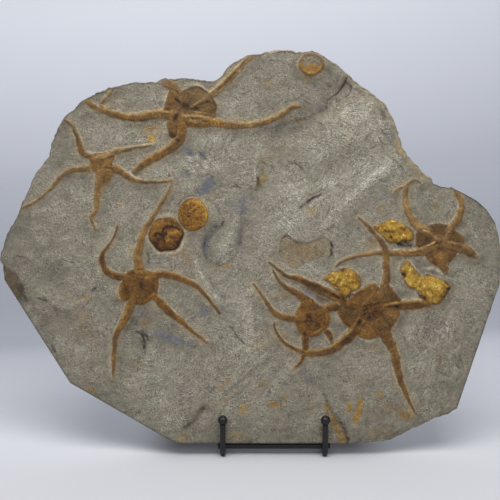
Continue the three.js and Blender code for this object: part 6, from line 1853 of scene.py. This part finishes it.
PAPER_WITH_PAINTED_SHADE = stops((0.0, 208, 209, 214), (0.188, 206, 207, 211), (0.205, 213, 214, 219),
              (0.2156, 207, 209, 215), (0.2288, 201, 203, 209), (0.2438, 190, 192, 199),
              (0.2535, 166, 169, 177), (0.2848, 158, 161, 169), (0.3481, 163, 166, 173),
              (0.4391, 187, 189, 196), (0.5034, 221, 223, 228), (0.5336, 235, 237, 241),
              (0.5586, 240, 242, 246))
PAPER_LENGTH = 8                           # metres of sheet along the whole ramp
PAPER_SLANT = -0.14                        # how much the shades slant from left to right
FOOT_SHADE = linear(52, 49, 46)
FOOT_MIDDLE, FOOT_HALF = (0.016, -0.012), (0.092, 0.03)
FOOT_FADE = 0.034                          # metres in which the foot's shade fades away


def sweep_material():
    """Paper, palest on the table and at the top, with painted shade low on the wall and under the slab's
    foot.
    """
    g = Graph("sweep_paper")
    place = g.node("ShaderNodeSeparateXYZ")
    g.put(place.inputs[0], g.coords)
    run = g.add(g.value("run"), g.times(place.outputs[0], PAPER_SLANT))
    soft = g.centred(160, 3, 0.5)
    # painted shade low on the wall, and painted light on the table close to the slab
    colour = g.ramp(g.scaled(soft, 0.001, g.times(run, 1 / PAPER_LENGTH)), PAPER_WITH_PAINTED_SHADE)

    # the soft shade right under the slab's foot
    away = 0
    for axis, middle, half in zip(place.outputs, FOOT_MIDDLE, FOOT_HALF):
        past = g.scaled(g.maths("ABSOLUTE", g.scaled(axis, 1, -middle)), 1, -half)
        past = g.maths("MAXIMUM", past, 0)
        away = g.scaled(past, past, away)
    shade = g.maths("EXPONENT", g.times(away, -1 / FOOT_FADE ** 2))
    colour = g.mix(g.times(shade, 0.8), colour, FOOT_SHADE)
    return g.finish(colour, 0.75, Specular_IOR_Level=0.2)


floor = sweep()
floor.data.materials.append(sweep_material())


def turned_to(thing, target):
    """Turns a lamp or a camera so that it looks at the target."""
    thing.rotation_mode = "QUATERNION"
    thing.rotation_quaternion = (Vector(target) - thing.location).to_track_quat("-Z", "Y")


def area_light(name, place, target, size, power, colour, spread):
    """A rectangular lamp, in metres, watts and degrees, which the camera doesn't see."""
    data = bpy.data.lights.new(name, "AREA")
    data.shape = "RECTANGLE"
    data.size, data.size_y = size
    data.energy = power
    data.color = colour
    data.spread = math.radians(spread)
    lamp = bpy.data.objects.new(name, data)
    lamp.location = place
    lamp.visible_camera = False
    turned_to(lamp, target)
    bpy.context.scene.collection.objects.link(lamp)


# name, place, target, size, power, colour, spread
LIGHTS = [
    ("key", (-0.05, -0.85, 1.75), (0, 0.05, 0.2), (1.7, 1.1), 32, (1.0, 0.985, 0.96), 180),
    ("front_fill", (0.5, -2.2, 0.9), (0, 0, 0.25), (1.6, 1.2), 4.5, (0.97, 0.98, 1.0), 180),
    ("backdrop", (0, 0.9, 1.5), (0, 2.5, 0.3), (2.6, 0.6), 13, (0.97, 0.98, 1.0), 180),
    ("behind_the_foot", (0, 0.2, 0.28), (0, 0.02, 0), (0.56, 0.15), 0.065, (0.98, 0.99, 1.0), 75),
]
for light in LIGHTS:
    area_light(*light)

world = bpy.data.worlds.new("studio")
world.use_nodes = True
world.node_tree.nodes["Background"].inputs[0].default_value = (0.80, 0.84, 0.95, 1)
world.node_tree.nodes["Background"].inputs[1].default_value = 0.42
bpy.context.scene.world = world

CAMERA_REACH = 1.3                         # metres from the face
CAMERA_HALF = 250 * STEP                   # metres of the face from its middle to the picture's edge
camera_data = bpy.data.cameras.new("camera")
camera_data.sensor_fit = "HORIZONTAL"
camera_data.sensor_width = 36
camera_data.lens = camera_data.sensor_width / 2 * CAMERA_REACH / CAMERA_HALF
camera_data.clip_start, camera_data.clip_end = 0.05, 20
camera = bpy.data.objects.new("camera", camera_data)
aim = Vector(to_world(250, 250, 0))
camera.location = aim + CAMERA_REACH * Vector((0, -math.cos(LEAN), math.sin(LEAN)))
turned_to(camera, aim)
bpy.context.scene.collection.objects.link(camera)
bpy.context.scene.camera = camera
bpy.context.scene.view_settings.view_transform = "Standard"
bpy.context.scene.view_settings.look = "None"

bpy.context.view_layer.update()
